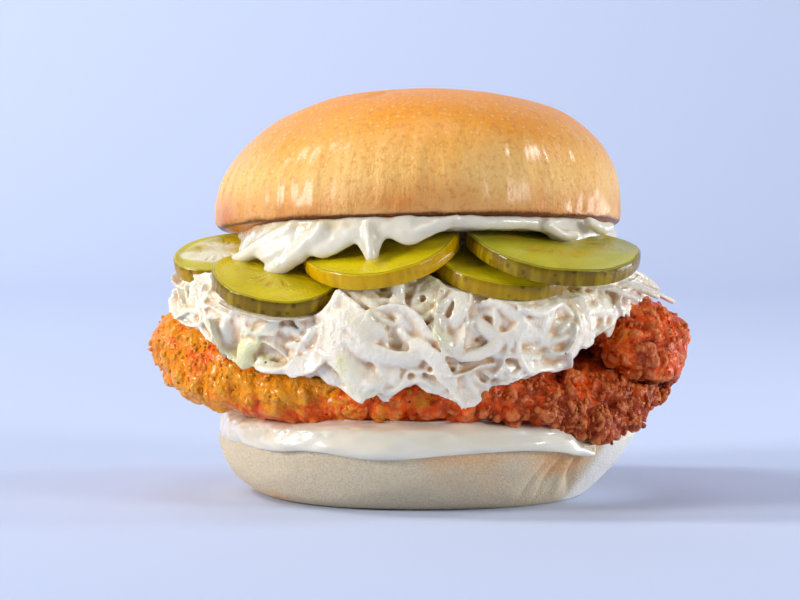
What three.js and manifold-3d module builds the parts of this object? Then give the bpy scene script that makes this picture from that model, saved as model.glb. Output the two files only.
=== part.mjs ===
// Fried chicken burger with slaw and pickles, in millimetres. +Z is up, the front faces -Y, and the origin
// is on the plane that it stands on, under the middle of the whole.
import * as THREE from "three";
import Module from "manifold-3d";

const wasm = await Module();
wasm.setup();

// Clearances
const gap = 0.35; // left between pieces that touch

// Lower half of the bun
const heel = {
  middle: [1.5, 0],
  footRadius: 39,
  rimRadius: 52,
  height: 17.5,
  dentTurn: -0.82, // where the side is pinched in, front right
  dentHeight: 9,
  dentDepth: 2.6,
};

// Upper half of the bun
const crown = {
  middle: [-1, 0],
  radius: 50.2,
  dome: 34,
  cutHeight: 66.3, // of the cut face at its middle
  fullness: 2.45, // superellipse power: 2 is a round dome
  lean: (6 * Math.PI) / 180, // the front edge is lifted
  roll: (0.9 * Math.PI) / 180, // the left edge is lower
  shoulder: 2.2, // the top sits this far to the right
};

// Fried fillet: a thick slab with swollen ends, drooping over the bun at front right, a flap folded up on the
// right and a bulge on the left
const fillet = {
  halfWidth: 65,
  halfDepth: 49.5,
  underside: 21,
  midThickness: 18.5,
  endThickness: 27,
  frontDroop: 1.3,
  leftDroop: 1.6,
  rightDroop: 7.4,
  cragDepth: 1.7,
  cragSize: 15,
};
const flap = { at: [49, -1, 37.4], half: [16.4, 27, 10.6], turn: 0.1, lean: 0 };
const bulge = { at: [-50.3, -4, 36.4], half: [15.8, 27, 10], turn: 0.05, lean: 0.1 };
const knob = { at: [45.5, -19, 35.4], half: [9, 11, 4.6], turn: 0.6, lean: 0.1 };

// Slaw: a heap between fillet and pickles that fills the middle up to the sauce and hangs over the front
const slaw = {
  halfWidth: 60.5,
  halfDepth: 53,
  rightDraw: 0.115, // share that the right side is drawn in by
  edgeTop: 55,
  middleTop: 61,
  bottom: 33,
  lumpSize: 19,
  lumpDepth: 2.2,
  shredWidth: 5,
  shredThickness: 1.9,
  shredCount: 38,
};
// Where the heap hangs lower: turn round the burger, width of the hang and how far down
const hangs = [
  { turn: -2.36, width: 0.11, drop: 3.5 },
  { turn: -2.08, width: 0.13, drop: 2 },
  { turn: -1.78, width: 0.13, drop: 5.5 },
  { turn: -1.44, width: 0.08, drop: 3.5 },
  { turn: -1.1, width: 0.1, drop: 0.8 },
  { turn: -0.82, width: 0.08, drop: 1.5 },
  { turn: 0.75, width: 0.14, drop: 4 },
  { turn: 1.35, width: 0.16, drop: 6 },
  { turn: 1.95, width: 0.13, drop: 4.5 },
  { turn: 2.6, width: 0.14, drop: 3.5 },
];

// Pickle slices: at is the middle of the upper face, and turn is the side that the slice leans to (0: front)
const sliceThickness = 4.8;
const slices = [
  {
    name: "pickle_left",
    at: [-50, -12, 61.2],
    radius: 11.8,
    turn: -0.45,
    tilt: 0.36,
    roll: 0.02,
    bend: 0.06,
  },
  {
    name: "pickle_front_left",
    at: [-34.2, -38, 56.1],
    radius: 16.4,
    turn: -0.2,
    tilt: 0.27,
    roll: 0.12,
    bend: 0.12,
  },
  {
    name: "pickle_front_middle",
    at: [-10.2, -38.5, 64],
    radius: 19.2,
    turn: 0,
    tilt: 0.22,
    roll: -0.16,
    bend: 0.11,
  },
  {
    name: "pickle_front_low",
    at: [18.6, -38.5, 58.2],
    radius: 17.4,
    turn: 0.1,
    tilt: 0.19,
    roll: 0.12,
    bend: 0.1,
  },
  {
    name: "pickle_front_right",
    at: [31.3, -38, 64.6],
    radius: 21.4,
    turn: 0.12,
    tilt: 0.175,
    roll: 0.1,
    bend: 0.12,
  },
  {
    name: "pickle_right",
    at: [41, 4, 64.2],
    radius: 12.5,
    turn: 1.57,
    tilt: 0.1,
    roll: 0.03,
    bend: 0.08,
  },
  {
    name: "pickle_back_right",
    at: [28.5, 34.5, 60],
    radius: 17.4,
    turn: 2.5,
    tilt: 0.13,
    roll: 0.06,
    bend: 0.1,
  },
  {
    name: "pickle_back_middle",
    at: [-7.4, 38, 58],
    radius: 17.8,
    turn: 3.1,
    tilt: 0.12,
    roll: -0.05,
    bend: 0.12,
  },
  {
    name: "pickle_back_left",
    at: [-37.5, 22, 59.4],
    radius: 16,
    turn: -2.3,
    tilt: 0.14,
    roll: 0.05,
    bend: 0.1,
  },
];

// Sauce on the lower bun: a pad whose lip hangs over the edge, lowest in front
const lowerSauce = {
  top: 21.4,
  lip: 2.3,
  drop: 3.6,
  leftDraw: 1.4, // the lip is drawn in on the left
  tailFrom: -0.98, // at front right it thins to a tail that runs down the bun
  tailTo: -0.68,
  backTail: 0.6, // and ends at back right
};

// Sauce under the upper bun: a pad with a hanging rim, in the bun's own frame
const upperSauce = { rim: 49, leftRim: 44.5, pad: 3.4, lipThickness: 2.2 };
// Where it runs down: turn round the bun, width, length below the cut face and how far out it flows
const runs = [
  { turn: -2.74, width: 0.09, drop: 10.5, flow: 4.5 },
  { turn: -2.38, width: 0.15, drop: 12.5, flow: 5.5 },
  { turn: -2.05, width: 0.17, drop: 7, flow: 1 },
  { turn: -1.81, width: 0.045, drop: 9.5, flow: -0.5 },
  { turn: -1.62, width: 0.12, drop: 4, flow: 0.3 },
  { turn: -0.69, width: 0.16, drop: 6, flow: 0.6 },
  { turn: -0.3, width: 0.17, drop: 3.4, flow: 1.5 },
  { turn: 0.55, width: 0.14, drop: 4.5, flow: 0.5 },
  { turn: 1.25, width: 0.1, drop: 6, flow: 1.5 },
  { turn: 1.85, width: 0.16, drop: 3.5, flow: 0.6 },
  { turn: 2.2, width: 0.07, drop: 5.5, flow: 1.2 },
];

// Numbers and curves
const turn = Math.PI * 2;
const clamp = (t) => Math.min(1, Math.max(0, t));
const hill = (x, middle, width) => Math.exp(-(((x - middle) / width) ** 2));

// From 0 at the first number to 1 at the second, with a soft start and end
function ease(from, to, x) {
  const t = clamp((x - from) / (to - from));
  return t * t * (3 - 2 * t);
}
// The shortest way between two turns round the burger
const turnBetween = (a, b) => Math.atan2(Math.sin(a - b), Math.cos(a - b));

// Three sines that bend each other: waviness from -1 to 1 with no seam
function wave(x, y, z, size) {
  const k = turn / size;
  const a = Math.sin(k * x + 1.3 * Math.sin(0.7 * k * y));
  const b = Math.sin(0.9 * k * y + 1.1 * Math.sin(0.8 * k * z) + 2);
  const c = Math.sin(1.1 * k * z + 1.2 * Math.sin(0.6 * k * x) + 4);
  return (a + b + c) / 3;
}

// A place on a superellipse of half size 1, by the direction from its middle
function roundedSquare(angle, power) {
  const c = Math.cos(angle);
  const s = Math.sin(angle);
  const reach = (Math.abs(c) ** power + Math.abs(s) ** power) ** (-1 / power);
  return [reach * c, reach * s];
}

// Direction for a place from the underside, 0, to the top, 1, with most steps on the side that shows
function crowded(up) {
  const share = 2 * up - 1;
  return (Math.sign(share) * Math.abs(share) ** 1.35 * Math.PI) / 2;
}

// A seeded draw from 0 to 1
function drawer(seed) {
  let state = seed;
  return () => {
    state = (state * 1664525 + 1013904223) % 4294967296;
    return state / 4294967296;
  };
}

// Solids

function solidOf(positions, faces) {
  const vertProperties = new Float32Array(positions.flat());
  return new wasm.Manifold(new wasm.Mesh({ numProp: 3, vertProperties, triVerts: new Uint32Array(faces) }));
}

// A closed skin on a grid: rows run from the lower pole to the upper one, and columns go round
function skin(columns, rows, pointAt) {
  const positions = [pointAt(0, 0)];
  for (let i = 1; i < rows; i++) {
    for (let j = 0; j < columns; j++) positions.push(pointAt((j / columns) * turn, i / rows));
  }
  positions.push(pointAt(0, 1));
  const upperPole = positions.length - 1;
  const at = (i, j) => 1 + (i - 1) * columns + (j % columns);
  const faces = [];
  for (let j = 0; j < columns; j++) {
    faces.push(0, at(1, j + 1), at(1, j));
    faces.push(upperPole, at(rows - 1, j), at(rows - 1, j + 1));
    for (let i = 1; i < rows - 1; i++) {
      faces.push(at(i, j), at(i, j + 1), at(i + 1, j + 1));
      faces.push(at(i, j), at(i + 1, j + 1), at(i + 1, j));
    }
  }
  return solidOf(positions, faces);
}

// An egg with half sizes half, leant about Y and then turned about Z
function egg({ at, half, lean, turn: about }, grow, columns, rows, lumps) {
  const place = new THREE.Matrix4().makeRotationY(lean);
  place.premultiply(new THREE.Matrix4().makeRotationZ(about)).setPosition(...at);
  return skin(columns, rows, (round, up) => {
    const [out, high] = roundedSquare((up - 0.5) * Math.PI, 2.3);
    const ray = [out * Math.cos(round), out * Math.sin(round), high];
    const [x, y, z] = ray.map((part, i) => part * half[i]);
    const stretch = grow + lumps * Math.abs(wave(x, y, z, fillet.cragSize));
    const reach = ray.map((part, i) => part * (half[i] + stretch));
    return new THREE.Vector3(...reach).applyMatrix4(place).toArray();
  });
}

function largestPiece(solid) {
  const pieces = solid.decompose();
  return pieces.reduce((best, piece) => (piece.volume() > best.volume() ? piece : best));
}

function geometryOf(solid) {
  const { vertProperties, triVerts } = solid.getMesh();
  const geometry = new THREE.BufferGeometry();
  geometry.setAttribute("position", new THREE.BufferAttribute(new Float32Array(vertProperties), 3));
  geometry.setIndex(new THREE.BufferAttribute(new Uint32Array(triVerts), 1));
  return geometry;
}

// Lower bun: flat foot, side that opens out to the rim, rounded edge and a slightly dished top
function heelRadius(round, share) {
  const power = 1.5 - 0.35 * Math.cos(round); // rounder on the left, slanting on the right
  const open = (1 - (1 - share) ** power) ** (1 / power);
  const uneven = 1 + 0.012 * Math.sin(2 * round + 0.6) + 0.008 * Math.sin(5 * round);
  return (heel.footRadius + (heel.rimRadius - heel.footRadius) * open) * uneven;
}

// Rings from the middle of the foot, up the side and back to the middle of the top: share of the way out
// and share of the height
const heelRings = [
  [0, 0],
  [1, 0],
  [1, 0.13],
  [1, 0.3],
  [1, 0.48],
  [1, 0.66],
  [1, 0.83],
  [1, 1],
  [0.985, 1.11],
  [0.94, 1.17],
  [0.6, 1.15],
  [0, 1.12],
];

function heelPoint(round, up, grow) {
  const side = heel.height / heelRings[9][1];
  const [inward, share] = heelRings[Math.round(up * (heelRings.length - 1))];
  const radius = heelRadius(round, Math.min(1, share)) + grow;
  const z = share * side + (share === 0 ? -grow : 0) + (share > 1 ? grow : 0);
  const dent = hill(turnBetween(round, heel.dentTurn), 0, 0.17) * hill(z, heel.dentHeight, 5);
  const out = inward * radius - heel.dentDepth * dent * inward ** 4;
  return [heel.middle[0] + out * Math.cos(round), heel.middle[1] + out * Math.sin(round), z];
}

const heelSolid = (grow) => skin(46, heelRings.length - 1, (round, up) => heelPoint(round, up, grow));

// Upper bun, in its own frame: the cut face is at z 0
function crownPoint(round, up, grow) {
  const faceRows = 0.1;
  const uneven = 1 + 0.01 * Math.sin(2 * round + 2) + 0.006 * Math.sin(3 * round + 1);
  const radius = crown.radius * uneven + grow;
  if (up <= faceRows) {
    const out = (up / faceRows) * radius;
    return [out * Math.cos(round), out * Math.sin(round), -grow];
  }
  const angle = ((up - faceRows) / (1 - faceRows)) * (Math.PI / 2);
  const [out, high] = roundedSquare(angle, crown.fullness);
  const lean = crown.shoulder * high ** 2;
  return [out * radius * Math.cos(round) + lean, out * radius * Math.sin(round), high * (crown.dome + grow)];
}

const crownSolid = (grow) => skin(42, 11, (round, up) => crownPoint(round, up, grow));

// The cut face leans back and to the left
const crownPlace = new THREE.Object3D();
crownPlace.position.set(crown.middle[0], crown.middle[1], crown.cutHeight);
crownPlace.rotation.set(-crown.lean, -crown.roll, 0);
crownPlace.updateMatrix();

// Fillet: how thick it is and how high its middle lies, by place
function filletShape(x, y) {
  const leftEnd = ease(22, 52, -x);
  const rightEnd = ease(25, 52, x);
  const frontRight = rightEnd * ease(2, 34, -y);
  const swell = (fillet.endThickness - fillet.midThickness) * leftEnd + 1.5 * rightEnd;
  const thickness = fillet.midThickness + swell;
  const right = fillet.rightDroop * (0.25 * rightEnd + 0.75 * frontRight);
  const droop = fillet.frontDroop * ease(20, 45, -y) + fillet.leftDroop * leftEnd + right;
  return { thickness, middle: fillet.underside + thickness / 2 - droop };
}

function filletPoint(round, up, grow) {
  const [out, high] = roundedSquare(crowded(up), 2.9);
  const [wide, deep] = roundedSquare(round, 2.3);
  const lobes = 1 + 0.02 * Math.sin(3 * round + 0.5) + 0.022 * Math.sin(5 * round + 1.5);
  const narrow = 1 - 0.085 * ease(0.2, 0.9, Math.cos(round)); // the right end is shorter below the flap
  const x = out * wide * fillet.halfWidth * lobes * narrow;
  const y = out * deep * fillet.halfDepth * lobes;
  const { thickness, middle } = filletShape(x, y);
  const z = middle + (high * thickness) / 2;
  const side = out ** 6; // crags stand on the side that shows
  const crag = Math.abs(wave(x, y, z, fillet.cragSize)) + 0.5 * Math.abs(wave(x, y, z, fillet.cragSize / 2));
  const push = fillet.cragDepth * side * (1.6 * crag - 0.5) + grow;
  const slope = [wide * out ** 2, deep * out ** 2, high];
  const length = Math.hypot(...slope);
  return [x + (push * slope[0]) / length, y + (push * slope[1]) / length, z + (push * slope[2]) / length];
}

function filletSolid(grow) {
  const slab = skin(56, 12, (round, up) => filletPoint(round, up, grow));
  const folded = egg(flap, grow, 20, 10, fillet.cragDepth);
  const lump = egg(knob, grow, 12, 7, fillet.cragDepth);
  const swelling = egg(bulge, grow, 18, 9, fillet.cragDepth);
  return largestPiece(slab.add(folded).add(lump).add(swelling));
}

// Slaw heap: rings from the middle of its underside, round the hanging rim and back to the middle of the top
function slawRings(round) {
  const hang = hangs.reduce((sum, h) => sum + h.drop * hill(turnBetween(round, h.turn), 0, h.width), 0);
  const right = ease(0.6, 0.95, Math.cos(round)); // it lies on the flap there
  const left = ease(0.5, 0.95, -Math.cos(round));
  const [wide, deep] = roundedSquare(round, 2.15);
  const drawn = 1 - slaw.rightDraw * ease(0.3, 0.95, Math.cos(round));
  const rim = Math.hypot(wide * slaw.halfWidth, deep * slaw.halfDepth) * drawn;
  const low = slaw.bottom - hang + 12 * right + 12 * left;
  const top = slaw.edgeTop + 2 * left;
  return [
    [0, slaw.bottom],
    [rim - 12, slaw.bottom],
    [rim - 4.6, low + 1.2],
    [rim - 2.2, low],
    [rim, low + 2.6],
    [rim + 0.6, 0.55 * low + 0.45 * top],
    [rim - 0.4, top - 5],
    [rim - 4, top - 1],
    [0.62 * rim, 0.35 * top + 0.65 * slaw.middleTop],
    [0, slaw.middleTop],
  ];
}

// A place on the heap between its rings, pushed in and out by lumps on the side that shows
function slawPoint(round, up) {
  const rings = slawRings(round);
  const place = clamp(up) * (rings.length - 1);
  const below = Math.min(rings.length - 2, Math.floor(place));
  const [out, z] = rings[below].map((part, i) => part + (rings[below + 1][i] - part) * (place - below));
  const aim = Math.atan2(Math.sin(round) * slaw.halfDepth, Math.cos(round) * slaw.halfWidth);
  const shown = (out / slaw.halfDepth) ** 3;
  const lump = slaw.lumpDepth * shown * wave(out * Math.cos(aim), out * Math.sin(aim), z, slaw.lumpSize);
  return new THREE.Vector3((out + lump) * Math.cos(aim), (out + lump) * Math.sin(aim), z);
}

function slawNormal(round, up) {
  const step = 0.04;
  const along = slawPoint(round + step, up).sub(slawPoint(round - step, up));
  const upward = slawPoint(round, up + step).sub(slawPoint(round, up - step));
  return along.cross(upward).normalize();
}

// A shred: a flat strip of cabbage laid over the heap, its ends standing off, as a band of four-sided rings
function shred(draw) {
  const round = draw() * turn;
  const up = 0.34 + 0.4 * draw();
  const slant = (draw() - 0.5) * 2.2;
  const length = 13 + 13 * draw();
  const width = slaw.shredWidth * (0.55 + 0.9 * draw());
  const standOff = 0.7 + 0.9 * draw();
  const curl = 0.2 + 2 * draw();
  const bend = (draw() - 0.5) * 0.5;
  const steps = 4;
  const path = [];
  const normals = [];
  for (let i = 0; i <= steps; i++) {
    const t = i / steps - 0.5;
    const turnHere = round + (Math.cos(slant) * t * length) / slaw.halfDepth;
    const upHere = up + (Math.sin(slant) * t * length) / 62 + bend * t * t;
    const normal = slawNormal(turnHere, upHere);
    const lift = standOff + curl * (2 * t) ** 2;
    path.push(slawPoint(turnHere, upHere).addScaledVector(normal, lift));
    normals.push(normal);
  }
  const positions = [];
  path.forEach((point, i) => {
    const ahead = path[Math.min(steps, i + 1)].clone().sub(path[Math.max(0, i - 1)]).normalize();
    const side = ahead.clone().cross(normals[i]).normalize();
    const taper = 0.45 + 0.55 * Math.sin(((i + 0.7) / (steps + 1.4)) * Math.PI);
    for (const [a, b] of [[1, 0], [0, 1], [-1, 0], [0, -1]]) {
      const corner = point.clone().addScaledVector(side, (a * width * taper) / 2);
      positions.push(corner.addScaledVector(normals[i], (b * slaw.shredThickness) / 2).toArray());
    }
  });
  const faces = [0, 1, 2, 0, 2, 3];
  for (let i = 0; i < steps; i++) {
    for (let k = 0; k < 4; k++) {
      const a = 4 * i + k;
      const b = 4 * i + ((k + 1) % 4);
      faces.push(a, a + 4, b + 4, a, b + 4, b);
    }
  }
  const last = 4 * steps;
  faces.push(last, last + 2, last + 1, last, last + 3, last + 2);
  const made = solidOf(positions, faces);
  return made.volume() < 0 ? solidOf(positions, faces.reverse()) : made;
}

// Pickle slice, in its own frame: the middle of the upper face is at the origin and -Y is its outer side
function sliceSolid({ radius, bend, turn: phase }, grow) {
  const rings = [[0, 0], [0.6, 0], [0.975, 0], [0.975, 1], [0.6, 1], [0, 1]];
  return skin(20, rings.length - 1, (round, up) => {
    const [share, side] = rings[Math.round(up * (rings.length - 1))];
    const uneven = 1 + 0.018 * Math.sin(3 * round + 7 * phase) + 0.012 * Math.sin(5 * round + phase);
    const out = share * (radius * uneven + grow);
    const x = out * Math.cos(round);
    const y = out * Math.sin(round) * 0.96;
    const droop = y < 0 ? (bend * y * y) / radius : 0;
    return [x, y, (side - 1) * sliceThickness + (2 * side - 1) * grow - droop];
  });
}

function slicePlace({ at, tilt, roll, turn: about }) {
  const place = new THREE.Object3D();
  place.position.set(...at);
  place.rotation.set(tilt, roll, about, "ZXY");
  place.updateMatrix();
  return place;
}

const moved = (solid, place) => solid.transform(place.matrix.toArray());

// A skin through rings of places, each given as how far out and how high
function ringSkin(columns, ringsAt, middle) {
  const count = ringsAt(0).length;
  return skin(columns, count - 1, (round, up) => {
    const [out, z] = ringsAt(round)[Math.round(up * (count - 1))];
    return [middle[0] + out * Math.cos(round), middle[1] + out * Math.sin(round), z];
  });
}

// Sauce on the lower bun, from the middle of its underside out round the lip and back over the top
function lowerSauceRings(round) {
  const about = turnBetween(round, 0);
  const tail = ease(lowerSauce.tailFrom, lowerSauce.tailTo, about) * ease(0.4, 0, about);
  const ended = ease(lowerSauce.tailTo - 0.03, lowerSauce.tailTo + 0.09, about);
  const shown = 1 - ended * ease(lowerSauce.backTail + 0.25, lowerSauce.backTail, about);
  const ripple = 0.6 * Math.sin(6 * round + 1) + 0.4 * Math.sin(11 * round + 2);
  const frontShare = ease(-0.5, 0.9, -Math.sin(round));
  const leftShare = ease(0.75, 1, -Math.cos(round));
  const rim = heelRadius(round, 1);
  const full = lowerSauce.lip * (0.25 + 0.75 * frontShare) + 0.3 * ripple - lowerSauce.leftDraw * leftShare;
  const lip = (full * (1 - 0.6 * tail)) * shown - 4 * (1 - shown);
  const hang = lowerSauce.drop * (0.5 + 0.5 * frontShare) + 0.6 * ripple + 1.6 * tail;
  const low = heel.height - hang * shown;
  const top = lowerSauce.top - 6.2 * tail * shown;
  return [
    [0, heel.height - 1],
    [rim - 4, heel.height - 1],
    [rim + lip - 2.4 * shown, low + 0.2],
    [rim + lip - 0.7, low],
    [rim + lip, low + 0.3 * (top - low)],
    [rim + lip - 0.5, top - 0.25 * (top - low)],
    [rim + lip - 1.9, top + 0.3],
    [rim - 7, top + 1.1],
    [0, lowerSauce.top],
  ];
}

// Sauce under the upper bun, in the bun's frame: the underside of the pad, down the lip's inside and up its
// outside
function upperSauceRings(round, grow = 0) {
  const left = ease(0.72, 0.98, -Math.cos(round));
  const rim = upperSauce.rim + (upperSauce.leftRim - upperSauce.rim) * left;
  const near = runs.map((r) => hill(turnBetween(round, r.turn), 0, r.width));
  const run = (part) => runs.reduce((sum, r, i) => sum + r[part] * near[i], 0);
  const pad = upperSauce.pad + grow;
  const drop = pad + Math.min(13, run("drop"));
  const flow = run("flow");
  const lip = upperSauce.lipThickness + 1.5 * grow;
  return [
    [0, -pad],
    [rim - 6, -pad],
    [rim - lip + 0.45 * flow, -pad - 0.55 * (drop - pad)],
    [rim - lip + flow, -drop + 0.3],
    [rim - 0.4 + flow, -drop],
    [rim + 0.3 + flow + grow, 1.2 - drop],
    [rim + 0.5 + 0.45 * flow + grow, -0.45 * drop],
    [rim + grow, -0.9],
    [rim - 0.8, -gap],
    [0, -gap],
  ];
}

function upperSaucePad(grow) {
  return moved(ringSkin(56, (round) => upperSauceRings(round, grow), [0, 0]), crownPlace);
}

// The pieces, each cut back from those that it touches
const filletCut = filletSolid(gap);
const sliceCut = slices.map((slice) => moved(sliceSolid(slice, gap), slicePlace(slice)));
const crownCut = moved(crownSolid(gap), crownPlace);

function cutBack(solid, tools) {
  return largestPiece(tools.reduce((left, tool) => left.subtract(tool), solid));
}

function makeSlaw() {
  const draw = drawer(7);
  const core = skin(40, slawRings(0).length - 1, (round, up) => slawPoint(round, up).toArray());
  const shreds = Array.from({ length: slaw.shredCount }, () => shred(draw));
  const heap = shreds.reduce((sum, piece) => sum.add(piece), core);
  return cutBack(heap, [filletCut, ...sliceCut, upperSaucePad(gap)]);
}

function makeUpperSauce() {
  return cutBack(upperSaucePad(0), [crownCut, ...sliceCut]);
}

function makeLowerSauce() {
  return cutBack(ringSkin(46, lowerSauceRings, heel.middle), [heelSolid(gap), filletCut]);
}

// Materials
const finish = (color, roughness) => new THREE.MeshStandardMaterial({ color, roughness, metalness: 0 });
const crumbFinish = finish(0xc9bba2, 0.85);
const crustFinish = finish(0xe0a262, 0.45);
const batterFinish = finish(0xc4642a, 0.5);
const sauceFinish = finish(0xefede0, 0.25);
const slawFinish = finish(0xf1eee2, 0.3);
const pickleFinish = finish(0xb0a52c, 0.25);

// The burger
const burger = new THREE.Group();

function addPiece(name, solid, material, place) {
  const mesh = new THREE.Mesh(geometryOf(solid), material);
  mesh.name = name;
  if (place) {
    mesh.position.copy(place.position);
    mesh.rotation.copy(place.rotation);
  }
  burger.add(mesh);
}

addPiece("bun_heel", cutBack(heelSolid(0), [filletCut]), crumbFinish);
addPiece("lower_sauce", makeLowerSauce(), sauceFinish);
addPiece("chicken_fillet", filletSolid(0), batterFinish);
addPiece("slaw", makeSlaw(), slawFinish);
slices.forEach((slice) => addPiece(slice.name, sliceSolid(slice, 0), pickleFinish, slicePlace(slice)));
addPiece("upper_sauce", makeUpperSauce(), sauceFinish);
addPiece("bun_crown", crownSolid(0), crustFinish, crownPlace);

// Bring the origin under the middle of the whole
const bounds = new THREE.Box3().setFromObject(burger, true);
const middle = bounds.getCenter(new THREE.Vector3());
burger.position.set(-middle.x, -middle.y, -bounds.min.z);

export default burger;
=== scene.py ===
import math

import bpy
import numpy as np
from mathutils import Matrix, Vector


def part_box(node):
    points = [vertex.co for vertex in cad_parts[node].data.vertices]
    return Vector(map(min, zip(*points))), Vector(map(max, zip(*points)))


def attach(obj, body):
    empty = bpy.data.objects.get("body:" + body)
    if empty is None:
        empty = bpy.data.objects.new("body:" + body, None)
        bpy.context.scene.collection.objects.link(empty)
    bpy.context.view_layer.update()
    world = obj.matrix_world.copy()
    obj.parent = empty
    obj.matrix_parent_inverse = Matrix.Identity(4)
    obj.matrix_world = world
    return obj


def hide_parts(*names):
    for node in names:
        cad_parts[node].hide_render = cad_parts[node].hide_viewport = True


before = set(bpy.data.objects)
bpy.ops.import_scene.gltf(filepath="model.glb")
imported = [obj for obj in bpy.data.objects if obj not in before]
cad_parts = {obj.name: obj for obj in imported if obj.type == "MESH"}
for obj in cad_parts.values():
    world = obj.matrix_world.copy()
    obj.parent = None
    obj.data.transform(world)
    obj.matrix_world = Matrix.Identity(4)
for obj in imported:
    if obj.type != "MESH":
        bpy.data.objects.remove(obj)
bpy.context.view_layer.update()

# Lengths are in millimetres until a mesh is made. The front faces -Y and +Z is up.
mm = 0.001
fullTurn = 2 * np.pi

for old in [o for o in bpy.data.objects if o.type in ("LIGHT", "CAMERA")]:
    bpy.data.objects.remove(old)
if "Cube" in bpy.data.objects:
    bpy.data.objects.remove(bpy.data.objects["Cube"])


# Curves and noise, all for whole arrays

def ease(start, end, x):
    # From 0 at start to 1 at end, with a soft start and stop
    t = np.clip((x - start) / (end - start), 0, 1)
    return t * t * (3 - 2 * t)


def hill(x, middle, width):
    # A bell that is 1 at middle
    return np.exp(-(((x - middle) / width) ** 2))


def turnBetween(a, b):
    # How far a is turned from b, the shorter way: the angle with the sine and cosine of a - b
    return np.arctan2(np.sin(a - b), np.cos(a - b))


def wave(x, y, z, size):
    # Three sines that bend each other, from -1 to 1
    k = fullTurn / size
    a = np.sin(k * x + 1.3 * np.sin(0.7 * k * y))
    b = np.sin(0.9 * k * y + 1.1 * np.sin(0.8 * k * z) + 2)
    c = np.sin(1.1 * k * z + 1.2 * np.sin(0.6 * k * x) + 4)
    return (a + b + c) / 3


def roundedSquare(angle, power):
    # The place on a superellipse of half size 1, by the direction from its middle
    cosine, sine = np.cos(angle), np.sin(angle)
    reach = (np.abs(cosine) ** power + np.abs(sine) ** power) ** (-1 / power)
    return reach * cosine, reach * sine


def turnAbout(axis, angle):
    # The matrix of a turn about X, Y or Z, which are 0, 1 and 2: counter-clockwise, seen from the axis's tip
    second, third = (axis + 1) % 3, (axis + 2) % 3
    matrix = np.eye(3)
    matrix[second, second] = matrix[third, third] = math.cos(angle)
    matrix[second, third] = -math.sin(angle)
    matrix[third, second] = math.sin(angle)
    return matrix


# Large odd numbers that stir a lattice's whole coordinates and the seed together
stir = {"x": 374761393, "y": 668265263, "z": 1440662683, "seed": 1274126177, "again": 1103515245}


def hashed(cells, seed):
    # A number from -1 to 1 for each cell of a lattice: its coordinates times large odd numbers, bits mixed
    number = cells[..., 0] * stir["x"] + cells[..., 1] * stir["y"] + cells[..., 2] * stir["z"]
    number = number + seed * stir["seed"]
    number = (number ^ (number >> 13)) * stir["again"]
    number = number ^ (number >> 16)
    return (number & 0xFFFFFF) / 0x7FFFFF - 1  # its last 24 bits, over half of what they can hold


def softNoise(points, size, seed=0):
    # Value noise: a number at each corner of a lattice of that size, blended smoothly between corners
    place = points / size
    base = np.floor(place).astype(np.int64)
    share = place - base
    share = share * share * share * (share * (share * 6 - 15) + 10)
    total = 0
    for corner in range(8):
        step = np.array([corner & 1, corner >> 1 & 1, corner >> 2])
        weight = np.prod(np.where(step == 1, share, 1 - share), axis=-1)
        total = total + weight * hashed(base + step, seed)
    return total


def nodules(points, size, seed=0):
    # Round bumps: 1 at scattered spots, one in each cell of that size, falling to 0 halfway to the next
    place = points / size
    base = np.floor(place).astype(np.int64)
    nearest = np.full(place.shape[:-1], 9.0)
    for corner in np.ndindex(3, 3, 3):
        cell = base + np.array(corner) - 1
        spot = np.stack([hashed(cell, seed + k) for k in range(3)], axis=-1)
        nearest = np.minimum(nearest, np.linalg.norm(place - cell - 0.5 - 0.42 * spot, axis=-1))
    return 1 - np.clip(nearest, 0, 1)


def billows(points, size, layers, seed=0):
    # Rounded lumps with sharp creases between them: noise without its sign, of halving size and strength
    total = 0
    for i in range(layers):
        total = total + np.abs(softNoise(points, size / 2 ** i, seed + 7 * i)) / 2 ** i
    return total


def warped(points, size, reach, seed=0):
    # Points pushed about by soft noise, so that what is drawn on them loses its lattice
    return points + reach * np.stack([softNoise(points, size, seed + k) for k in range(3)], axis=-1)


def carried(points, values, targets, cell):
    # Values handed on to nearby points: summed in cells, blurred to the next cells, and read back as means
    low = np.minimum(points.min(0), targets.min(0)) - 3 * cell
    size = np.ceil((np.maximum(points.max(0), targets.max(0)) - low) / cell).astype(int) + 3
    place = np.ravel_multi_index(((points - low) / cell).astype(int).T, size)
    weights = (values, np.ones(len(values)))
    sums = [np.bincount(place, weight, size.prod()).reshape(size) for weight in weights]
    for axis in (0, 1, 2):
        sums = [0.5 * total + 0.25 * (np.roll(total, 1, axis) + np.roll(total, -1, axis)) for total in sums]
    spot = np.ravel_multi_index(((targets - low) / cell).astype(int).T, size)
    return sums[0].ravel()[spot] / np.maximum(sums[1].ravel()[spot], 1e-6)


def splined(rings, samples):
    # A smooth cubic curve through the ring points of each column, whose slope at a point is half the step
    # from the point before it to the point after it: rings is columns x points x parts
    count = rings.shape[1]
    place = np.linspace(0, count - 1, samples)
    low = np.minimum(place.astype(int), count - 2)
    t = (place - low)[None, :, None]
    at = [rings[:, np.clip(low + k, 0, count - 1)] for k in (-1, 0, 1, 2)]
    bend = 2 * at[0] - 5 * at[1] + 4 * at[2] - at[3]
    twist = 3 * at[1] - at[0] - 3 * at[2] + at[3]
    return at[1] + 0.5 * t * ((at[2] - at[0]) + t * (bend + t * twist))


# Meshes

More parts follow.
